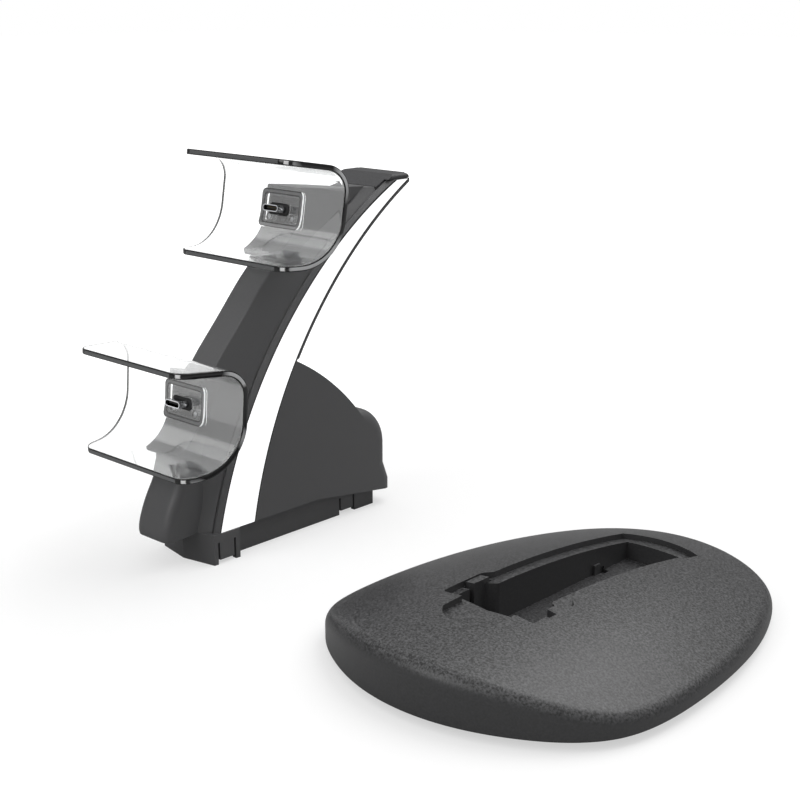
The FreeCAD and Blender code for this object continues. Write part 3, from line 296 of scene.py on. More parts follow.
# %% [markdown]
# ## Metals, rubber and boards
# The plugs' shells are deep-drawn steel with polished nickel, the screws are zinc plated, the weights
# are plain steel and the feet are moulded rubber. A metal keeps the default index of refraction. Fine
# drawing lines run along the plug, and so the noise is stretched along it.

# %% Plated metals
SMOOTHEST, ROUGHEST, LINE_DEPTH = 0.7, 1.3, 0.02


def plated(name, colour, roughness, stretch_mm):
    """Metal with fine lines: stretch_mm is the size of the noise along x, y and z."""
    made, tree, surface, spot = start_material(
        name, Base_Color=swatch(colour), Metallic=1.0, Roughness=roughness)
    stretch = add(tree, "ShaderNodeMapping",
                  inputs={"Vector": spot, "Scale": [per_metre(size) for size in stretch_mm]})
    lines = add(tree, "ShaderNodeTexNoise", inputs={"Vector": stretch, "Scale": 1.0, "Detail": 3.0})
    if roughness > 0:
        rough = add(tree, "ShaderNodeMapRange", inputs={
            "Value": lines, "To Min": roughness * SMOOTHEST, "To Max": roughness * ROUGHEST})
        feed(surface, "Roughness", rough)
    bump = add(tree, "ShaderNodeBump",
               inputs={"Strength": 0.15, "Distance": LINE_DEPTH * MM, "Height": lines})
    feed(surface, "Normal", bump)
    return made


nickel = plated("polished_nickel_plate", "b4b5b8", 0.0, (0.15, 2.0, 0.15))
zinc = plated("zinc_plated_steel", "8d8e91", 0.4, (0.2, 0.2, 0.2))
mill_steel = plated("mill_scale_steel", "6a6a6c", 0.5, (6.0, 0.6, 0.6))
gold = plated("gold_flash_contact", "d8b25a", 0.25, (0.1, 0.6, 0.1))
print("metals:", nickel.name, zinc.name, mill_steel.name, gold.name)

# %% [markdown]
# The feet, the boards and the flexible lead aren't one even tone: each wanders between two swatches.

# %% Rubber, solder mask and film
def speckled(name, colour, other, size_mm, roughness, ior):
    """A dull surface whose colour wanders between two swatches."""
    made, tree, surface, spot = start_material(name, IOR=ior, Roughness=roughness)
    patch = add(tree, "ShaderNodeTexNoise",
                inputs={"Vector": spot, "Scale": per_metre(size_mm), "Detail": 4.0})
    mix = add(tree, "ShaderNodeMix", {"data_type": "RGBA"}, {0: patch, 6: swatch(colour), 7: swatch(other)})
    bump = add(tree, "ShaderNodeBump", inputs={"Strength": 0.4, "Distance": PIT_DEPTH * MM, "Height": patch})
    feed(surface, "Base Color", mix, 2)
    feed(surface, "Normal", bump)
    return made


rubber = speckled("moulded_foot_rubber", "151516", "222223", 0.5, 0.75, 1.52)
solder_mask = speckled("green_solder_mask", "0f3d22", "145430", 1.2, 0.35, 1.5)
amber_film = speckled("amber_lead_film", "a3621d", "b8762c", 2.5, 0.3, 1.7)
print("dull finishes:", rubber.name, solder_mask.name, amber_film.name)

# %% [markdown]
# ## Dress the solids
# A node's name says what it is, so a short table from name to material is enough. The first entry that
# the name starts with wins.

# %% Give every solid its material
FINISHES = [
    ("base_shell", spark_abs), ("top_cap", cap_abs), ("light_strip", opal), ("cradle_frame", frame_abs),
    ("cradle_screws", zinc), ("plug_frame_screws", zinc), ("base_screws", zinc), ("ballast", mill_steel),
    ("foot_", rubber), ("plug_shell", nickel), ("plug_body", black_abs), ("plug_tongue", black_abs),
    ("controller_chip", black_abs), ("inlet_socket", black_abs), ("plug_board", solder_mask),
    ("light_board", solder_mask), ("main_board", solder_mask), ("ribbon_lead", amber_film),
    ("cradle_", clear), ("", satin_abs),
]


def finish_of(name):
    """The material of a solid, by its name."""
    return next(material for start, material in FINISHES if name.startswith(start))


for name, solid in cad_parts.items():
    solid.data.materials.clear()
    solid.data.materials.append(finish_of(name))
print("dressed", len(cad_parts), "solids")

# %% [markdown]
# ## The clear cradles
# Each cradle is one strip of sheet, bent to a C, tapered towards its lips and rounded at their
# corners. That is a rule, so Geometry Nodes make it: a flat grid is laid along a bent line. The line
# is a curve of four points whose corners are filleted, each by its own radius, which is how the real
# sheet is bent over a former.

# %% Sizes of a cradle
SHEET, TOP_RADIUS, LOW_RADIUS, LOW_TURN, FLAT = 2.1, 9.7, 19.8, 82.0, 9.5
TOP_REACH, LOW_REACH, HALF_BACK, TAPER, CORNER = 28.0, 24.8, 34.0, 0.165, 5.5
CRADLES = {"lower": (4.5, 4.7, 59.5), "upper": (9.7, 54.7, 125.2)}
PLUG_LEAN, PLUG_RISE = 3.0, 0.6


def cradle_place(name):
    """Matrix from a cradle's own frame to the model's: its back's outer face, where the low bend starts."""
    tilt, y, z = CRADLES[name]
    return Matrix.Translation(place(0, y, z)) @ Matrix.Rotation(math.radians(-tilt), 4, "X")


def plug_place(name):
    """Matrix from a plug's own frame, its axis along y, to the model's."""
    lean = Matrix.Rotation(math.radians(-PLUG_LEAN), 4, "X")
    return cradle_place(name) @ Matrix.Translation(Vector((0, -SHEET, PLUG_RISE)) * MM) @ lean


print("lower cradle at", [round(v * 1000, 1) for v in cradle_place("lower").translation])


# %% [markdown]
# A few helpers serve all the pieces that follow. They put an object in the scene, turn a live shape
# into a plain mesh in its place, set a tree's named input, and smooth or soften a piece. Two more make
# the outline of a rounded rectangle and the faces between two outlines.

# %% Helpers for pieces
SHARP_TURN, SOFTEN_TURN = 35, 50


def put(name, data):
    """A new object in the scene."""
    made = bpy.data.objects.new(name, data)
    bpy.context.scene.collection.objects.link(made)
    return made


def put_shape(name, shape):
    """An object from a finished bmesh."""
    mesh = bpy.data.meshes.new(name)
    shape.to_mesh(mesh)
    shape.free()
    return put(name, mesh)


def baked(source, name):
    """The evaluated shape of an object as a plain mesh object; the source is removed."""
    bpy.context.view_layer.update()
    graph = bpy.context.evaluated_depsgraph_get()
    mesh = bpy.data.meshes.new_from_object(source.evaluated_get(graph), depsgraph=graph)
    mesh.transform(source.matrix_world)
    mesh.name = name
    made = put(name, mesh)
    bpy.data.objects.remove(source)
    return made


def fill_slots(piece, material):
    """Gives the empty material slots of a baked mesh a material."""
    for index, held in enumerate(piece.data.materials):
        piece.data.materials[index] = held or material


def set_input(modifier, label, value):
    """Sets a tree's named input on a modifier."""
    for item in modifier.node_group.interface.items_tree:
        if item.in_out == "INPUT" and item.name == label:
            modifier[item.identifier] = value


def smooth(piece):
    """Smooth shading that keeps the hard edges."""
    piece.data.shade_smooth()
    piece.data.set_sharp_from_angle(angle=math.radians(SHARP_TURN))


def soften(piece, width, segments):
    """Rounds the sharp edges of a piece. Gives the modifier."""
    made = piece.modifiers.new("soften", "BEVEL")
    made.width, made.segments, made.angle_limit = width * MM, segments, math.radians(SOFTEN_TURN)
    return made


def rounded_outline(width, height, corner, corner_steps, side_steps=1):
    """Points (x, z) round a rectangle with round corners; side_steps splits its straight sides."""
    points = []
    for side_x, side_z, start in ((1, 1, 0), (-1, 1, 90), (-1, -1, 180), (1, -1, 270)):
        for step in range(corner_steps + 1):
            turn = math.radians(start + 90 * step / corner_steps)
            points.append((side_x * (width / 2 - corner) + corner * math.cos(turn),
                           side_z * (height / 2 - corner) + corner * math.sin(turn)))
    dense = []
    for (x0, z0), (x1, z1) in zip(points, points[1:] + points[:1]):
        count = side_steps if math.hypot(x1 - x0, z1 - z0) > corner else 1
        dense += [(x0 + (x1 - x0) * i / count, z0 + (z1 - z0) * i / count) for i in range(count)]
    return dense


def bridge(shape, first, second):
    """Faces between two closed loops of equally many vertices."""
    for i in range(len(first)):
        j = (i + 1) % len(first)
        shape.faces.new((first[i], first[j], second[j], second[i]))


print("helpers ready")

# %% [markdown]
# The line of the bend needs four corners: lip, heel, heel, lip. A curve point carries a radius, which
# is free to hold the bend's radius, so the tree can read it there and no size is written twice. The
# low bend turns a little less than a right angle, so the low lip keeps falling towards its edge.

# %% The line that the sheet is bent along
def former_line(name):
    """Side view of a cradle as a curve of four corners; each point's radius is the radius of its bend."""
    line = bpy.data.curves.new(name, "CURVE")
    line.dimensions = "3D"
    run = line.splines.new("POLY")
    run.points.add(3)
    turn = math.radians(LOW_TURN)
    heel = -LOW_RADIUS * math.tan(turn / 2)
    corners = [(-TOP_REACH, FLAT + TOP_RADIUS, 0), (0, FLAT + TOP_RADIUS, TOP_RADIUS),
               (0, heel, LOW_RADIUS), (-LOW_REACH, heel - LOW_REACH / math.tan(turn), 0)]
    for point, (y, z, radius) in zip(run.points, corners):
        point.co = (0, y * MM, z * MM, 1)
        point.radius = radius * MM
    return put(name, line)


# %% [markdown]
# The tree fillets the line, samples it once for each row of the grid, and pulls the rows in towards
# the lips: a straight taper, and a quarter circle at each corner. The flat surface is then flipped,
# pushed inwards by the sheet's thickness and joined to itself. The faces made by that push are the
# cut edges, so they get the edge's material.

# %% Tree that bends a sheet
COLUMNS, ROWS, FILLET_STEPS, WELD = 33, 241, 24, 0.01


def start_tree(name, sockets):
    """A Geometry Nodes tree with named inputs and one output. Gives it and its inputs' sockets."""
    tree = bpy.data.node_groups.new(name, "GeometryNodeTree")
    for kind, labels in sockets:
        for label in labels:
            tree.interface.new_socket(label, in_out="INPUT", socket_type="NodeSocket" + kind)
    tree.interface.new_socket("Piece", in_out="OUTPUT", socket_type="NodeSocketGeometry")
    return tree, add(tree, "NodeGroupInput").outputs


def half_width(tree, given, low_part, depth):
    """Half the sheet's width at a depth from its back: tapered, and rounded at the lips' corners."""
    corner = given["Corner"]
    reach = add(tree, "GeometryNodeSwitch", {"input_type": "FLOAT"},
                {"Switch": low_part, "False": given["Top Reach"], "True": given["Low Reach"]})
    left = add(tree, "ShaderNodeMath", {"operation": "SUBTRACT"}, {0: reach, 1: depth})
    left = add(tree, "ShaderNodeMath", {"operation": "MAXIMUM"}, {0: left, 1: 0.0})
    to_lip = add(tree, "ShaderNodeMath", {"operation": "MINIMUM"}, {0: left, 1: corner})
    short = add(tree, "ShaderNodeMath", {"operation": "SUBTRACT"}, {0: corner, 1: to_lip})
    full_square = add(tree, "ShaderNodeMath", {"operation": "MULTIPLY"}, {0: corner, 1: corner})
    short_square = add(tree, "ShaderNodeMath", {"operation": "MULTIPLY"}, {0: short, 1: short})
    square = add(tree, "ShaderNodeMath", {"operation": "SUBTRACT"}, {0: full_square, 1: short_square})
    square = add(tree, "ShaderNodeMath", {"operation": "MAXIMUM"}, {0: square, 1: 0.0})
    bulge = add(tree, "ShaderNodeMath", {"operation": "SQRT"}, {0: square})
    taper = add(tree, "ShaderNodeMath", {"operation": "MULTIPLY"}, {0: depth, 1: given["Taper"]})
    rounding = add(tree, "ShaderNodeMath", {"operation": "SUBTRACT"}, {0: corner, 1: bulge})
    narrowed = add(tree, "ShaderNodeMath", {"operation": "ADD"}, {0: taper, 1: rounding})
    return add(tree, "ShaderNodeMath", {"operation": "SUBTRACT"}, {0: given["Half Back"], 1: narrowed})


def bent_sheet_tree():
    """Geometry Nodes tree: a tapered sheet with rounded lips, bent along the line it is given."""
    tree, given = start_tree("bent_sheet", [
        ("Geometry", ["Line"]),
        ("Float", ["Half Back", "Taper", "Corner", "Top Reach", "Low Reach", "Sheet"]),
        ("Material", ["Face", "Edge"])])
    bend = add(tree, "GeometryNodeFilletCurve", {"mode": "POLY"}, {
        "Curve": given["Line"], "Radius": add(tree, "GeometryNodeInputRadius"), "Count": FILLET_STEPS})
    grid = add(tree, "GeometryNodeMeshGrid",
               inputs={"Size X": 2.0, "Size Y": 1.0, "Vertices X": COLUMNS, "Vertices Y": ROWS})
    on_grid = add(tree, "ShaderNodeSeparateXYZ", inputs={0: add(tree, "GeometryNodeInputPosition")}).outputs
    along = add(tree, "ShaderNodeMath", {"operation": "ADD"}, {0: on_grid["Y"], 1: 0.5})
    sample = add(tree, "GeometryNodeSampleCurve", {"mode": "FACTOR", "use_all_curves": True},
                 {"Curves": bend, "Factor": along})
    at = add(tree, "ShaderNodeSeparateXYZ", inputs={0: sample.outputs["Position"]}).outputs
    depth = add(tree, "ShaderNodeMath", {"operation": "MULTIPLY"}, {0: at["Y"], 1: -1.0})
    low_part = add(tree, "ShaderNodeMath", {"operation": "GREATER_THAN"}, {0: along, 1: 0.5})
    across = add(tree, "ShaderNodeMath", {"operation": "MULTIPLY"},
                 {0: on_grid["X"], 1: half_width(tree, given, low_part, depth)})
    bent = add(tree, "ShaderNodeCombineXYZ", inputs={"X": across, "Y": at["Y"], "Z": at["Z"]})
    outer = add(tree, "GeometryNodeSetPosition", inputs={"Geometry": grid, "Position": bent})
    turned = add(tree, "GeometryNodeFlipFaces", inputs={"Mesh": outer})
    pushed = add(tree, "GeometryNodeExtrudeMesh", {"mode": "FACES"},
                 {"Mesh": turned, "Offset Scale": given["Sheet"], "Individual": False})
    faced = add(tree, "GeometryNodeSetMaterial", inputs={"Geometry": pushed, "Material": given["Face"]})
    edged = add(tree, "GeometryNodeSetMaterial", inputs={
        "Geometry": faced, "Selection": pushed.outputs["Side"], "Material": given["Edge"]})
    back = add(tree, "GeometryNodeSetMaterial", inputs={"Geometry": outer, "Material": given["Face"]})
    both = add(tree, "GeometryNodeJoinGeometry")
    tree.links.new(edged.outputs[0], both.inputs[0])
    tree.links.new(back.outputs[0], both.inputs[0])
    closed = add(tree, "GeometryNodeMergeByDistance", inputs={"Geometry": both, "Distance": WELD * MM})
    real = add(tree, "GeometryNodeRealizeInstances", inputs={"Geometry": closed})
    add(tree, "NodeGroupOutput", inputs={"Piece": real})
    return tree


bent_sheet = bent_sheet_tree()
print("tree", bent_sheet.name, "has", len(bent_sheet.nodes), "nodes")

# %% [markdown]
# ## Hole and screw posts
# The plug passes through a slot, and two short posts behind the sheet take the screws. They are cut
# and joined with booleans after the sheet's rims were softened, because a bevel is neatest on a clean
# grid. The thin dark lines along the clear plastic are painted shade on those softened rims.

# %% Cutters and posts
SLOT_WIDTH, SLOT_HEIGHT, SLOT_CORNER, SLOT_REACH, SLOT_STEPS = 10.9, 4.7, 1.6, 4, 6
POST_RADIUS, POST_LENGTH, POST_HOLE, POST_SPREAD, POST_DROP = 1.6, 2.4, 0.97, 6.3, 3.2
POST_ROOT, HOLE_FLOOR, HOLE_EXTRA, POST_SIDES = 1, 0.4, 2, 40


def slot_cutter(name):
    """Bar with round edges, as long as it takes to cut through the sheet."""
    shape = bmesh.new()
    outline = rounded_outline(SLOT_WIDTH, SLOT_HEIGHT, SLOT_CORNER, SLOT_STEPS)
    near = [shape.verts.new((x * MM, -SLOT_REACH * MM, z * MM)) for x, z in outline]
    far = [shape.verts.new((x * MM, SLOT_REACH * MM, z * MM)) for x, z in outline]
    shape.faces.new(near)
    shape.faces.new(list(reversed(far)))
    bridge(shape, near, far)
    bmesh.ops.recalc_face_normals(shape, faces=shape.faces)
    return put_shape(name, shape)


def round_bar(name, radius, length, x, y, z):
    """Cylinder that runs back from a point."""
    shape = bmesh.new()
    turn = Matrix.Rotation(math.radians(90), 4, "X")
    middle = Matrix.Translation(Vector((x, y + length / 2, z)) * MM)
    bmesh.ops.create_cone(shape, cap_ends=True, segments=POST_SIDES, radius1=radius * MM,
                          radius2=radius * MM, depth=length * MM, matrix=middle @ turn)
    return put_shape(name, shape)


def cradle_tools(name):
    """Posts to join, and their holes and the plug's slot to cut, each with its kind of boolean."""
    tools = []
    for x in (-POST_SPREAD, POST_SPREAD):
        post = round_bar("post", POST_RADIUS, POST_LENGTH + POST_ROOT, x, SHEET - POST_ROOT, -POST_DROP)
        hole = round_bar("hole", POST_HOLE, POST_LENGTH + HOLE_EXTRA, x, SHEET + HOLE_FLOOR, -POST_DROP)
        tools += [(post, "UNION"), (hole, "DIFFERENCE")]
    tools.append((slot_cutter("slot"), "DIFFERENCE"))
    for tool, _ in tools:
        tool.data.materials.append(clear)
        tool.matrix_world = plug_place(name)
    return tools


# %% [markdown]
# The tree gets its sizes as named inputs. Its sheet is turned into a plain mesh before the rims are
# softened, so that the bevel works on the finished shape, and the bevel's faces get the rim's material.

# %% Bend and soften a sheet
RIM_SOFTNESS, RIM_STEPS = 0.42, 2


def soft_sheet(name):
    """A cradle's sheet in its place, bent and with softened rims."""
    line = former_line("former_" + name)
    bend = line.modifiers.new("bend", "NODES")
    bend.node_group = bent_sheet
    for label, value in (("Half Back", HALF_BACK), ("Corner", CORNER), ("Top Reach", TOP_REACH),
                         ("Low Reach", LOW_REACH), ("Sheet", SHEET)):
        set_input(bend, label, value * MM)
    set_input(bend, "Taper", TAPER)
    set_input(bend, "Face", clear)
    set_input(bend, "Edge", edge_painted_glints)
    sheet = baked(line, "sheet_" + name)
    sheet.data.materials.append(rim_painted_shade)
    rims = soften(sheet, RIM_SOFTNESS, RIM_STEPS)
    rims.use_clamp_overlap = False
    rims.material = len(sheet.data.materials) - 1
    sheet.matrix_world = cradle_place(name)
    return baked(sheet, "sheet_" + name)


# %% [markdown]
# Each tool is one boolean on the sheet, in the order of the list: a post is joined before its hole is
# cut. The finished cradle takes the place of the model's plain one.

# %% Cut and place both cradles
for name in CRADLES:
    sheet = soft_sheet(name)
    tools = cradle_tools(name)
    for tool, operation in tools:
        cut = sheet.modifiers.new(tool.name, "BOOLEAN")
        cut.operation, cut.solver, cut.object = operation, "EXACT", tool
        cut.material_mode = "TRANSFER"
    cradle = baked(sheet, "clear_cradle_" + name)
    for tool, _ in tools:
        bpy.data.objects.remove(tool)
    fill_slots(cradle, clear)
    smooth(cradle)
    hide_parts("cradle_" + name)
    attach(cradle, "root")
    print(cradle.name, len(cradle.data.polygons), "faces", [m.name for m in cradle.data.materials])

# %% [markdown]
# ## The frames round the plugs
# A rounded rectangular frame is moulded a little way into the back of the sheet round each plug, so
# its front has to follow the low bend. Two outlines, one inside the other, are given the bend's depth
# point by point and bridged on all four sides. A wide bevel softens the edges, and its colour is
# painted light: the outer rim on the right is a painted highlight, white and glowing, and the others
# are near-black painted shade that draws the frame's outline.

# %% Rims of a frame
PAINTED_RIM_GLOW, TURNED_FROM, TURNED_FULL = 0.4, 0.3, 0.4


def painted_glint_rim():
    """Rim of near-black painted shade, with a glowing painted highlight facing right on the right side."""
    made, tree, surface, spot = start_material("frame_rim_painted_glint_and_shade", IOR=ABS_IOR, Roughness=0.2,
                                               Emission_Strength=PAINTED_RIM_GLOW, Specular_IOR_Level=0.0)
    normal = add(tree, "ShaderNodeNewGeometry").outputs["Normal"]
    rightwards = add(tree, "ShaderNodeSeparateXYZ", inputs={0: normal}).outputs["X"]
    turned = add(tree, "ShaderNodeMapRange",
                 inputs={"Value": rightwards, "From Min": TURNED_FROM, "From Max": TURNED_FULL})
    aside = add(tree, "ShaderNodeSeparateXYZ", inputs={0: spot}).outputs["X"]
    right_side = add(tree, "ShaderNodeMath", {"operation": "GREATER_THAN"}, {0: aside, 1: NOSE.x})
    lit = add(tree, "ShaderNodeMath", {"operation": "MULTIPLY"}, {0: turned, 1: right_side})
    shade = add(tree, "ShaderNodeMix", {"data_type": "RGBA"},
                {0: lit, 6: swatch("070707"), 7: swatch("ffffff")})
    feed(surface, "Base Color", shade, 2)
    feed(surface, "Emission Color", shade, 2)
    return made


frame_rim = painted_glint_rim()
print("rims of the frames:", frame_rim.name)

# %% [markdown]
# The bend is an arc, so its depth at a height follows from a right triangle. The bevel's faces take the
# ring's second material, the rims' one.

# %% Frames that follow the bend
FRAME_WIDTH, FRAME_HEIGHT, FRAME_BORDER, FRAME_CORNER, FRAME_DEPTH = 23.0, 15.0, 2.0, 2.2, 1.4
FRAME_RIM, FRAME_RIM_STEPS, FRAME_GRIP = 0.55, 3, 0.3
CORNER_STEPS, SIDE_STEPS = 8, 10


def bend_depth(z):
    """How far the sheet's outer face comes forward at a height below the start of the low bend."""
    return LOW_RADIUS - math.sqrt(LOW_RADIUS ** 2 - min(z, 0) ** 2)


def plug_ring():
    """Frame round a plug, its front following the sheet."""
    shape = bmesh.new()
    loops = []
    for inset in (0, FRAME_BORDER):
        outline = rounded_outline(FRAME_WIDTH - 2 * inset, FRAME_HEIGHT - 2 * inset,
                                  FRAME_CORNER - inset / 2, CORNER_STEPS, SIDE_STEPS)
        depths = [-FRAME_GRIP - bend_depth(z + PLUG_RISE) for x, z in outline]
        front = [shape.verts.new((x * MM, y * MM, z * MM)) for (x, z), y in zip(outline, depths)]
        back = [shape.verts.new((x * MM, FRAME_DEPTH * MM, z * MM)) for x, z in outline]
        loops += [front, back]
    outer_front, outer_back, inner_front, inner_back = loops
    for first, second in ((outer_front, outer_back), (inner_front, inner_back), (outer_front, inner_front),
                          (outer_back, inner_back)):
        bridge(shape, first, second)
    bmesh.ops.recalc_face_normals(shape, faces=shape.faces)
    made = put_shape("ring", shape)
    made.data.materials.append(frame_abs)
    made.data.materials.append(frame_rim)
    soften(made, FRAME_RIM, FRAME_RIM_STEPS).material = 1
    return made


for name in CRADLES:
    ring = plug_ring()
    ring.matrix_world = cradle_place(name) @ Matrix.Translation(Vector((0, 0, PLUG_RISE)) * MM)
    ring = baked(ring, "plug_ring_" + name)
    smooth(ring)
    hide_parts("cradle_frame_" + name)
    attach(ring, "root")
    print(ring.name, len(ring.data.polygons), "faces")

# %% [markdown]
# ## Gold contacts on the plugs
# Each plug has a tongue with a row of contacts on both of its sides, stamped from brass and flashed with
# gold. A row is a count and a pitch, so Geometry Nodes make it: a line of points, and on each point a
# pair of pads, one above and one below the tongue.

# %% Tree that sets out the contacts
CONTACTS, PITCH, PAD_WIDTH, PAD_LENGTH, PAD_THICK = 12, 0.5, 0.27, 2.6, 0.06
TONGUE_THICK, PAD_MIDDLE = 0.7, -1.9


def contact_row_tree():
    """Geometry Nodes tree: pairs of pads in a row along x, above and below a tongue."""
    tree, given = start_tree("contact_row", [
        ("Int", ["Count"]), ("Float", ["Pitch", "Pad Width", "Pad Length", "Pad Thick", "Tongue"]),
        ("Material", ["Finish"])])
    gaps = add(tree, "ShaderNodeMath", {"operation": "SUBTRACT"}, {0: given["Count"], 1: 1.0})
    whole_row = add(tree, "ShaderNodeMath", {"operation": "MULTIPLY"}, {0: gaps, 1: given["Pitch"]})
    first_x = add(tree, "ShaderNodeMath", {"operation": "MULTIPLY"}, {0: whole_row, 1: -0.5})
    start = add(tree, "ShaderNodeCombineXYZ", inputs={"X": first_x})
    step = add(tree, "ShaderNodeCombineXYZ", inputs={"X": given["Pitch"]})
    row = add(tree, "GeometryNodeMeshLine", {"mode": "OFFSET"},
              {"Count": given["Count"], "Start Location": start, "Offset": step})
    size = add(tree, "ShaderNodeCombineXYZ",
               inputs={"X": given["Pad Width"], "Y": given["Pad Length"], "Z": given["Pad Thick"]})
    pad = add(tree, "GeometryNodeMeshCube", inputs={"Size": size})
    apart = add(tree, "ShaderNodeMath", {"operation": "ADD"}, {0: given["Tongue"], 1: given["Pad Thick"]})
    pair = add(tree, "GeometryNodeJoinGeometry")
    for share in (0.5, -0.5):
        rise = add(tree, "ShaderNodeMath", {"operation": "MULTIPLY"}, {0: apart, 1: share})
        lift = add(tree, "ShaderNodeCombineXYZ", inputs={"Z": rise})
        moved = add(tree, "GeometryNodeTransform", inputs={"Geometry": pad, "Translation": lift})
        tree.links.new(moved.outputs[0], pair.inputs[0])
    pads = add(tree, "GeometryNodeInstanceOnPoints", inputs={"Points": row, "Instance": pair})
    real = add(tree, "GeometryNodeRealizeInstances", inputs={"Geometry": pads})
    dressed = add(tree, "GeometryNodeSetMaterial", inputs={"Geometry": real, "Material": given["Finish"]})
    add(tree, "NodeGroupOutput", inputs={"Piece": dressed})
    return tree


# %% Contacts of both plugs
contact_row = contact_row_tree()
for name in CRADLES:
    holder = put("row", bpy.data.meshes.new("row"))
    holder.matrix_world = plug_place(name) @ Matrix.Translation((0, PAD_MIDDLE * MM, 0))
    rows = holder.modifiers.new("rows", "NODES")
    rows.node_group = contact_row
    set_input(rows, "Count", CONTACTS)
    for label, value in (("Pitch", PITCH), ("Pad Width", PAD_WIDTH), ("Pad Length", PAD_LENGTH),
                         ("Pad Thick", PAD_THICK), ("Tongue", TONGUE_THICK)):
        set_input(rows, label, value * MM)
    set_input(rows, "Finish", gold)
    contacts = baked(holder, "plug_contacts_" + name)
    fill_slots(contacts, gold)
    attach(contacts, "root")
    print(contacts.name, len(contacts.data.polygons), "faces", [m.name for m in contacts.data.materials])

# %% [markdown]
# ## Floor, light and camera
# A white floor that keeps a soft shadow, two lamps, and a white room. For the camera, through clear
# plastic and in polished surfaces the room is plain white. For the light that it sheds it has a bright
# ceiling and dim walls, so that tops are clearly lighter than sides and dark plastic keeps its depth.
# At the camera's left stands a brighter card that only polished surfaces mirror: it draws the soft
# light band in the low bends of the clear sheets.

# %% White room
HORIZON, CEILING, WALL_TOP, CEILING_EDGE = 0.23, 0.95, 0.1, 0.95
CARD_TOWARDS = Vector((-0.7, -0.4, 0.75)).normalized()
CARD_LIGHT, CARD_EDGE, CARD_FACE = 1.3, 0.94, 0.965


def seen_white(tree):
    """1 for the camera, through clear plastic and in polished surfaces, and 0 for all other rays."""
    path = add(tree, "ShaderNodeLightPath").outputs
    seen = add(tree, "ShaderNodeMath", {"operation": "MAXIMUM"},
               {0: path["Is Camera Ray"], 1: path["Is Transmission Ray"]})
    return add(tree, "ShaderNodeMath", {"operation": "MAXIMUM"}, {0: seen, 1: path["Is Singular Ray"]})


world = bpy.data.worlds.new("white_room")
bpy.context.scene.world = world
world.use_nodes = True
tree = world.node_tree
tree.nodes.clear()
towards = add(tree, "ShaderNodeTexCoord").outputs["Generated"]
height = add(tree, "ShaderNodeSeparateXYZ", inputs={0: towards}).outputs["Z"]
ceiling = add(tree, "ShaderNodeMapRange", {"interpolation_type": "SMOOTHSTEP"}, {
    "Value": height, "From Min": WALL_TOP, "From Max": CEILING_EDGE, "To Min": HORIZON, "To Max": CEILING})
facing = add(tree, "ShaderNodeVectorMath", {"operation": "DOT_PRODUCT"}, {0: towards, 1: CARD_TOWARDS})
card = add(tree, "ShaderNodeMapRange", {"interpolation_type": "SMOOTHSTEP"}, {
    "Value": facing.outputs["Value"], "From Min": CARD_EDGE, "From Max": CARD_FACE, "To Max": CARD_LIGHT})
polished = add(tree, "ShaderNodeLightPath").outputs["Is Singular Ray"]
mirrored = add(tree, "ShaderNodeMath", {"operation": "MULTIPLY"}, {0: card, 1: polished})
level = add(tree, "ShaderNodeMath", {"operation": "MAXIMUM"}, {0: seen_white(tree), 1: ceiling})
level = add(tree, "ShaderNodeMath", {"operation": "ADD"}, {0: level, 1: mirrored})
room = add(tree, "ShaderNodeBackground", inputs={"Color": (1, 1, 1, 1), "Strength": level})
add(tree, "ShaderNodeOutputWorld", inputs={"Surface": room})
print("room from", HORIZON, "at its walls to", CEILING, "at its ceiling")

# %% [markdown]
# The floor glows for the same rays, fully at a distance and less near the dock, so that the shadow shows
# there.

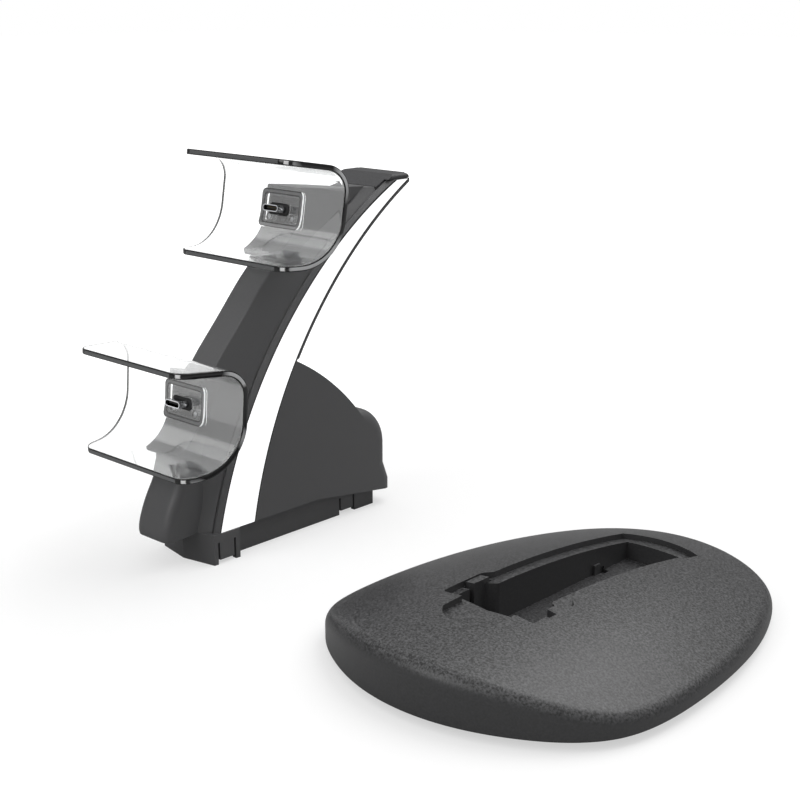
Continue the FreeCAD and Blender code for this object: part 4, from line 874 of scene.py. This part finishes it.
# %% Floor
FLOOR_HALF, SHADOW_REACH, PLAIN_FROM, GLOW_NEAR = 6000, 130, 340, 0.56
corners = [(x * FLOOR_HALF * MM, y * FLOOR_HALF * MM, 0) for x, y in ((-1, -1), (1, -1), (1, 1), (-1, 1))]
floor_mesh = bpy.data.meshes.new("floor")
floor_mesh.from_pydata(corners, [], [(0, 1, 2, 3)])
floor = put("floor", floor_mesh)
paper, tree, surface, spot = start_material("white_paper", Base_Color=swatch("adadad"), Roughness=1.0,
                                            Specular_IOR_Level=0.0, Emission_Color=(1, 1, 1, 1))
away = add(tree, "ShaderNodeVectorMath", {"operation": "LENGTH"}, {0: spot})
fade = add(tree, "ShaderNodeMapRange", {"interpolation_type": "SMOOTHSTEP"}, {
    "Value": away.outputs["Value"], "From Min": SHADOW_REACH * MM, "From Max": PLAIN_FROM * MM,
    "To Min": GLOW_NEAR, "To Max": 1.0})
glow = add(tree, "ShaderNodeMath", {"operation": "MULTIPLY"}, {0: seen_white(tree), 1: fade})
feed(surface, "Emission Strength", glow)
floor_mesh.materials.append(paper)
print("floor of", paper.name)

# %% [markdown]
# Two softboxes. The key hangs high behind the dock: it lights every top and leaves the sides in a soft
# shade. The fill stands in front and is weak: it lifts the front faces a little above the sides.

# %% Lamps
def softbox(name, where, side, watts):
    """A square area lamp that looks at the middle of the floor."""
    data = bpy.data.lights.new(name, "AREA")
    data.shape = "RECTANGLE"
    data.size, data.size_y, data.energy = side, side, watts
    made = put(name, data)
    made.location = where
    made.rotation_euler = (-made.location).to_track_quat("-Z", "Y").to_euler()
    return made


key = softbox("key_softbox", (0.14, 0.62, 1.14), 1.0, 7.5)
fill = softbox("fill_softbox", (-0.2, -1.0, 0.6), 0.6, 2.6)
print(key.name, "gives", key.data.energy, "W and", fill.name, fill.data.energy, "W")

# %% [markdown]
# The camera stands in front of the dock on its right, looks a little down and is turned to the left.

# %% Camera
PIXELS, FOCAL_PIXELS, SENSOR = 800, 1428.75, 36.0
LOOK_DOWN, LOOK_LEFT = 15.9, 43
camera_data = bpy.data.cameras.new("camera")
camera_data.sensor_width = SENSOR
camera_data.lens = SENSOR * FOCAL_PIXELS / PIXELS
camera_data.clip_start = 0.01
camera = put("camera", camera_data)
camera.location = place(402.4, -311.7, 205.0)
camera.rotation_euler = (math.radians(90 - LOOK_DOWN), 0, math.radians(LOOK_LEFT))
bpy.context.scene.camera = camera
bpy.context.scene.view_settings.view_transform = "Standard"
print("lens", camera_data.lens, "mm")
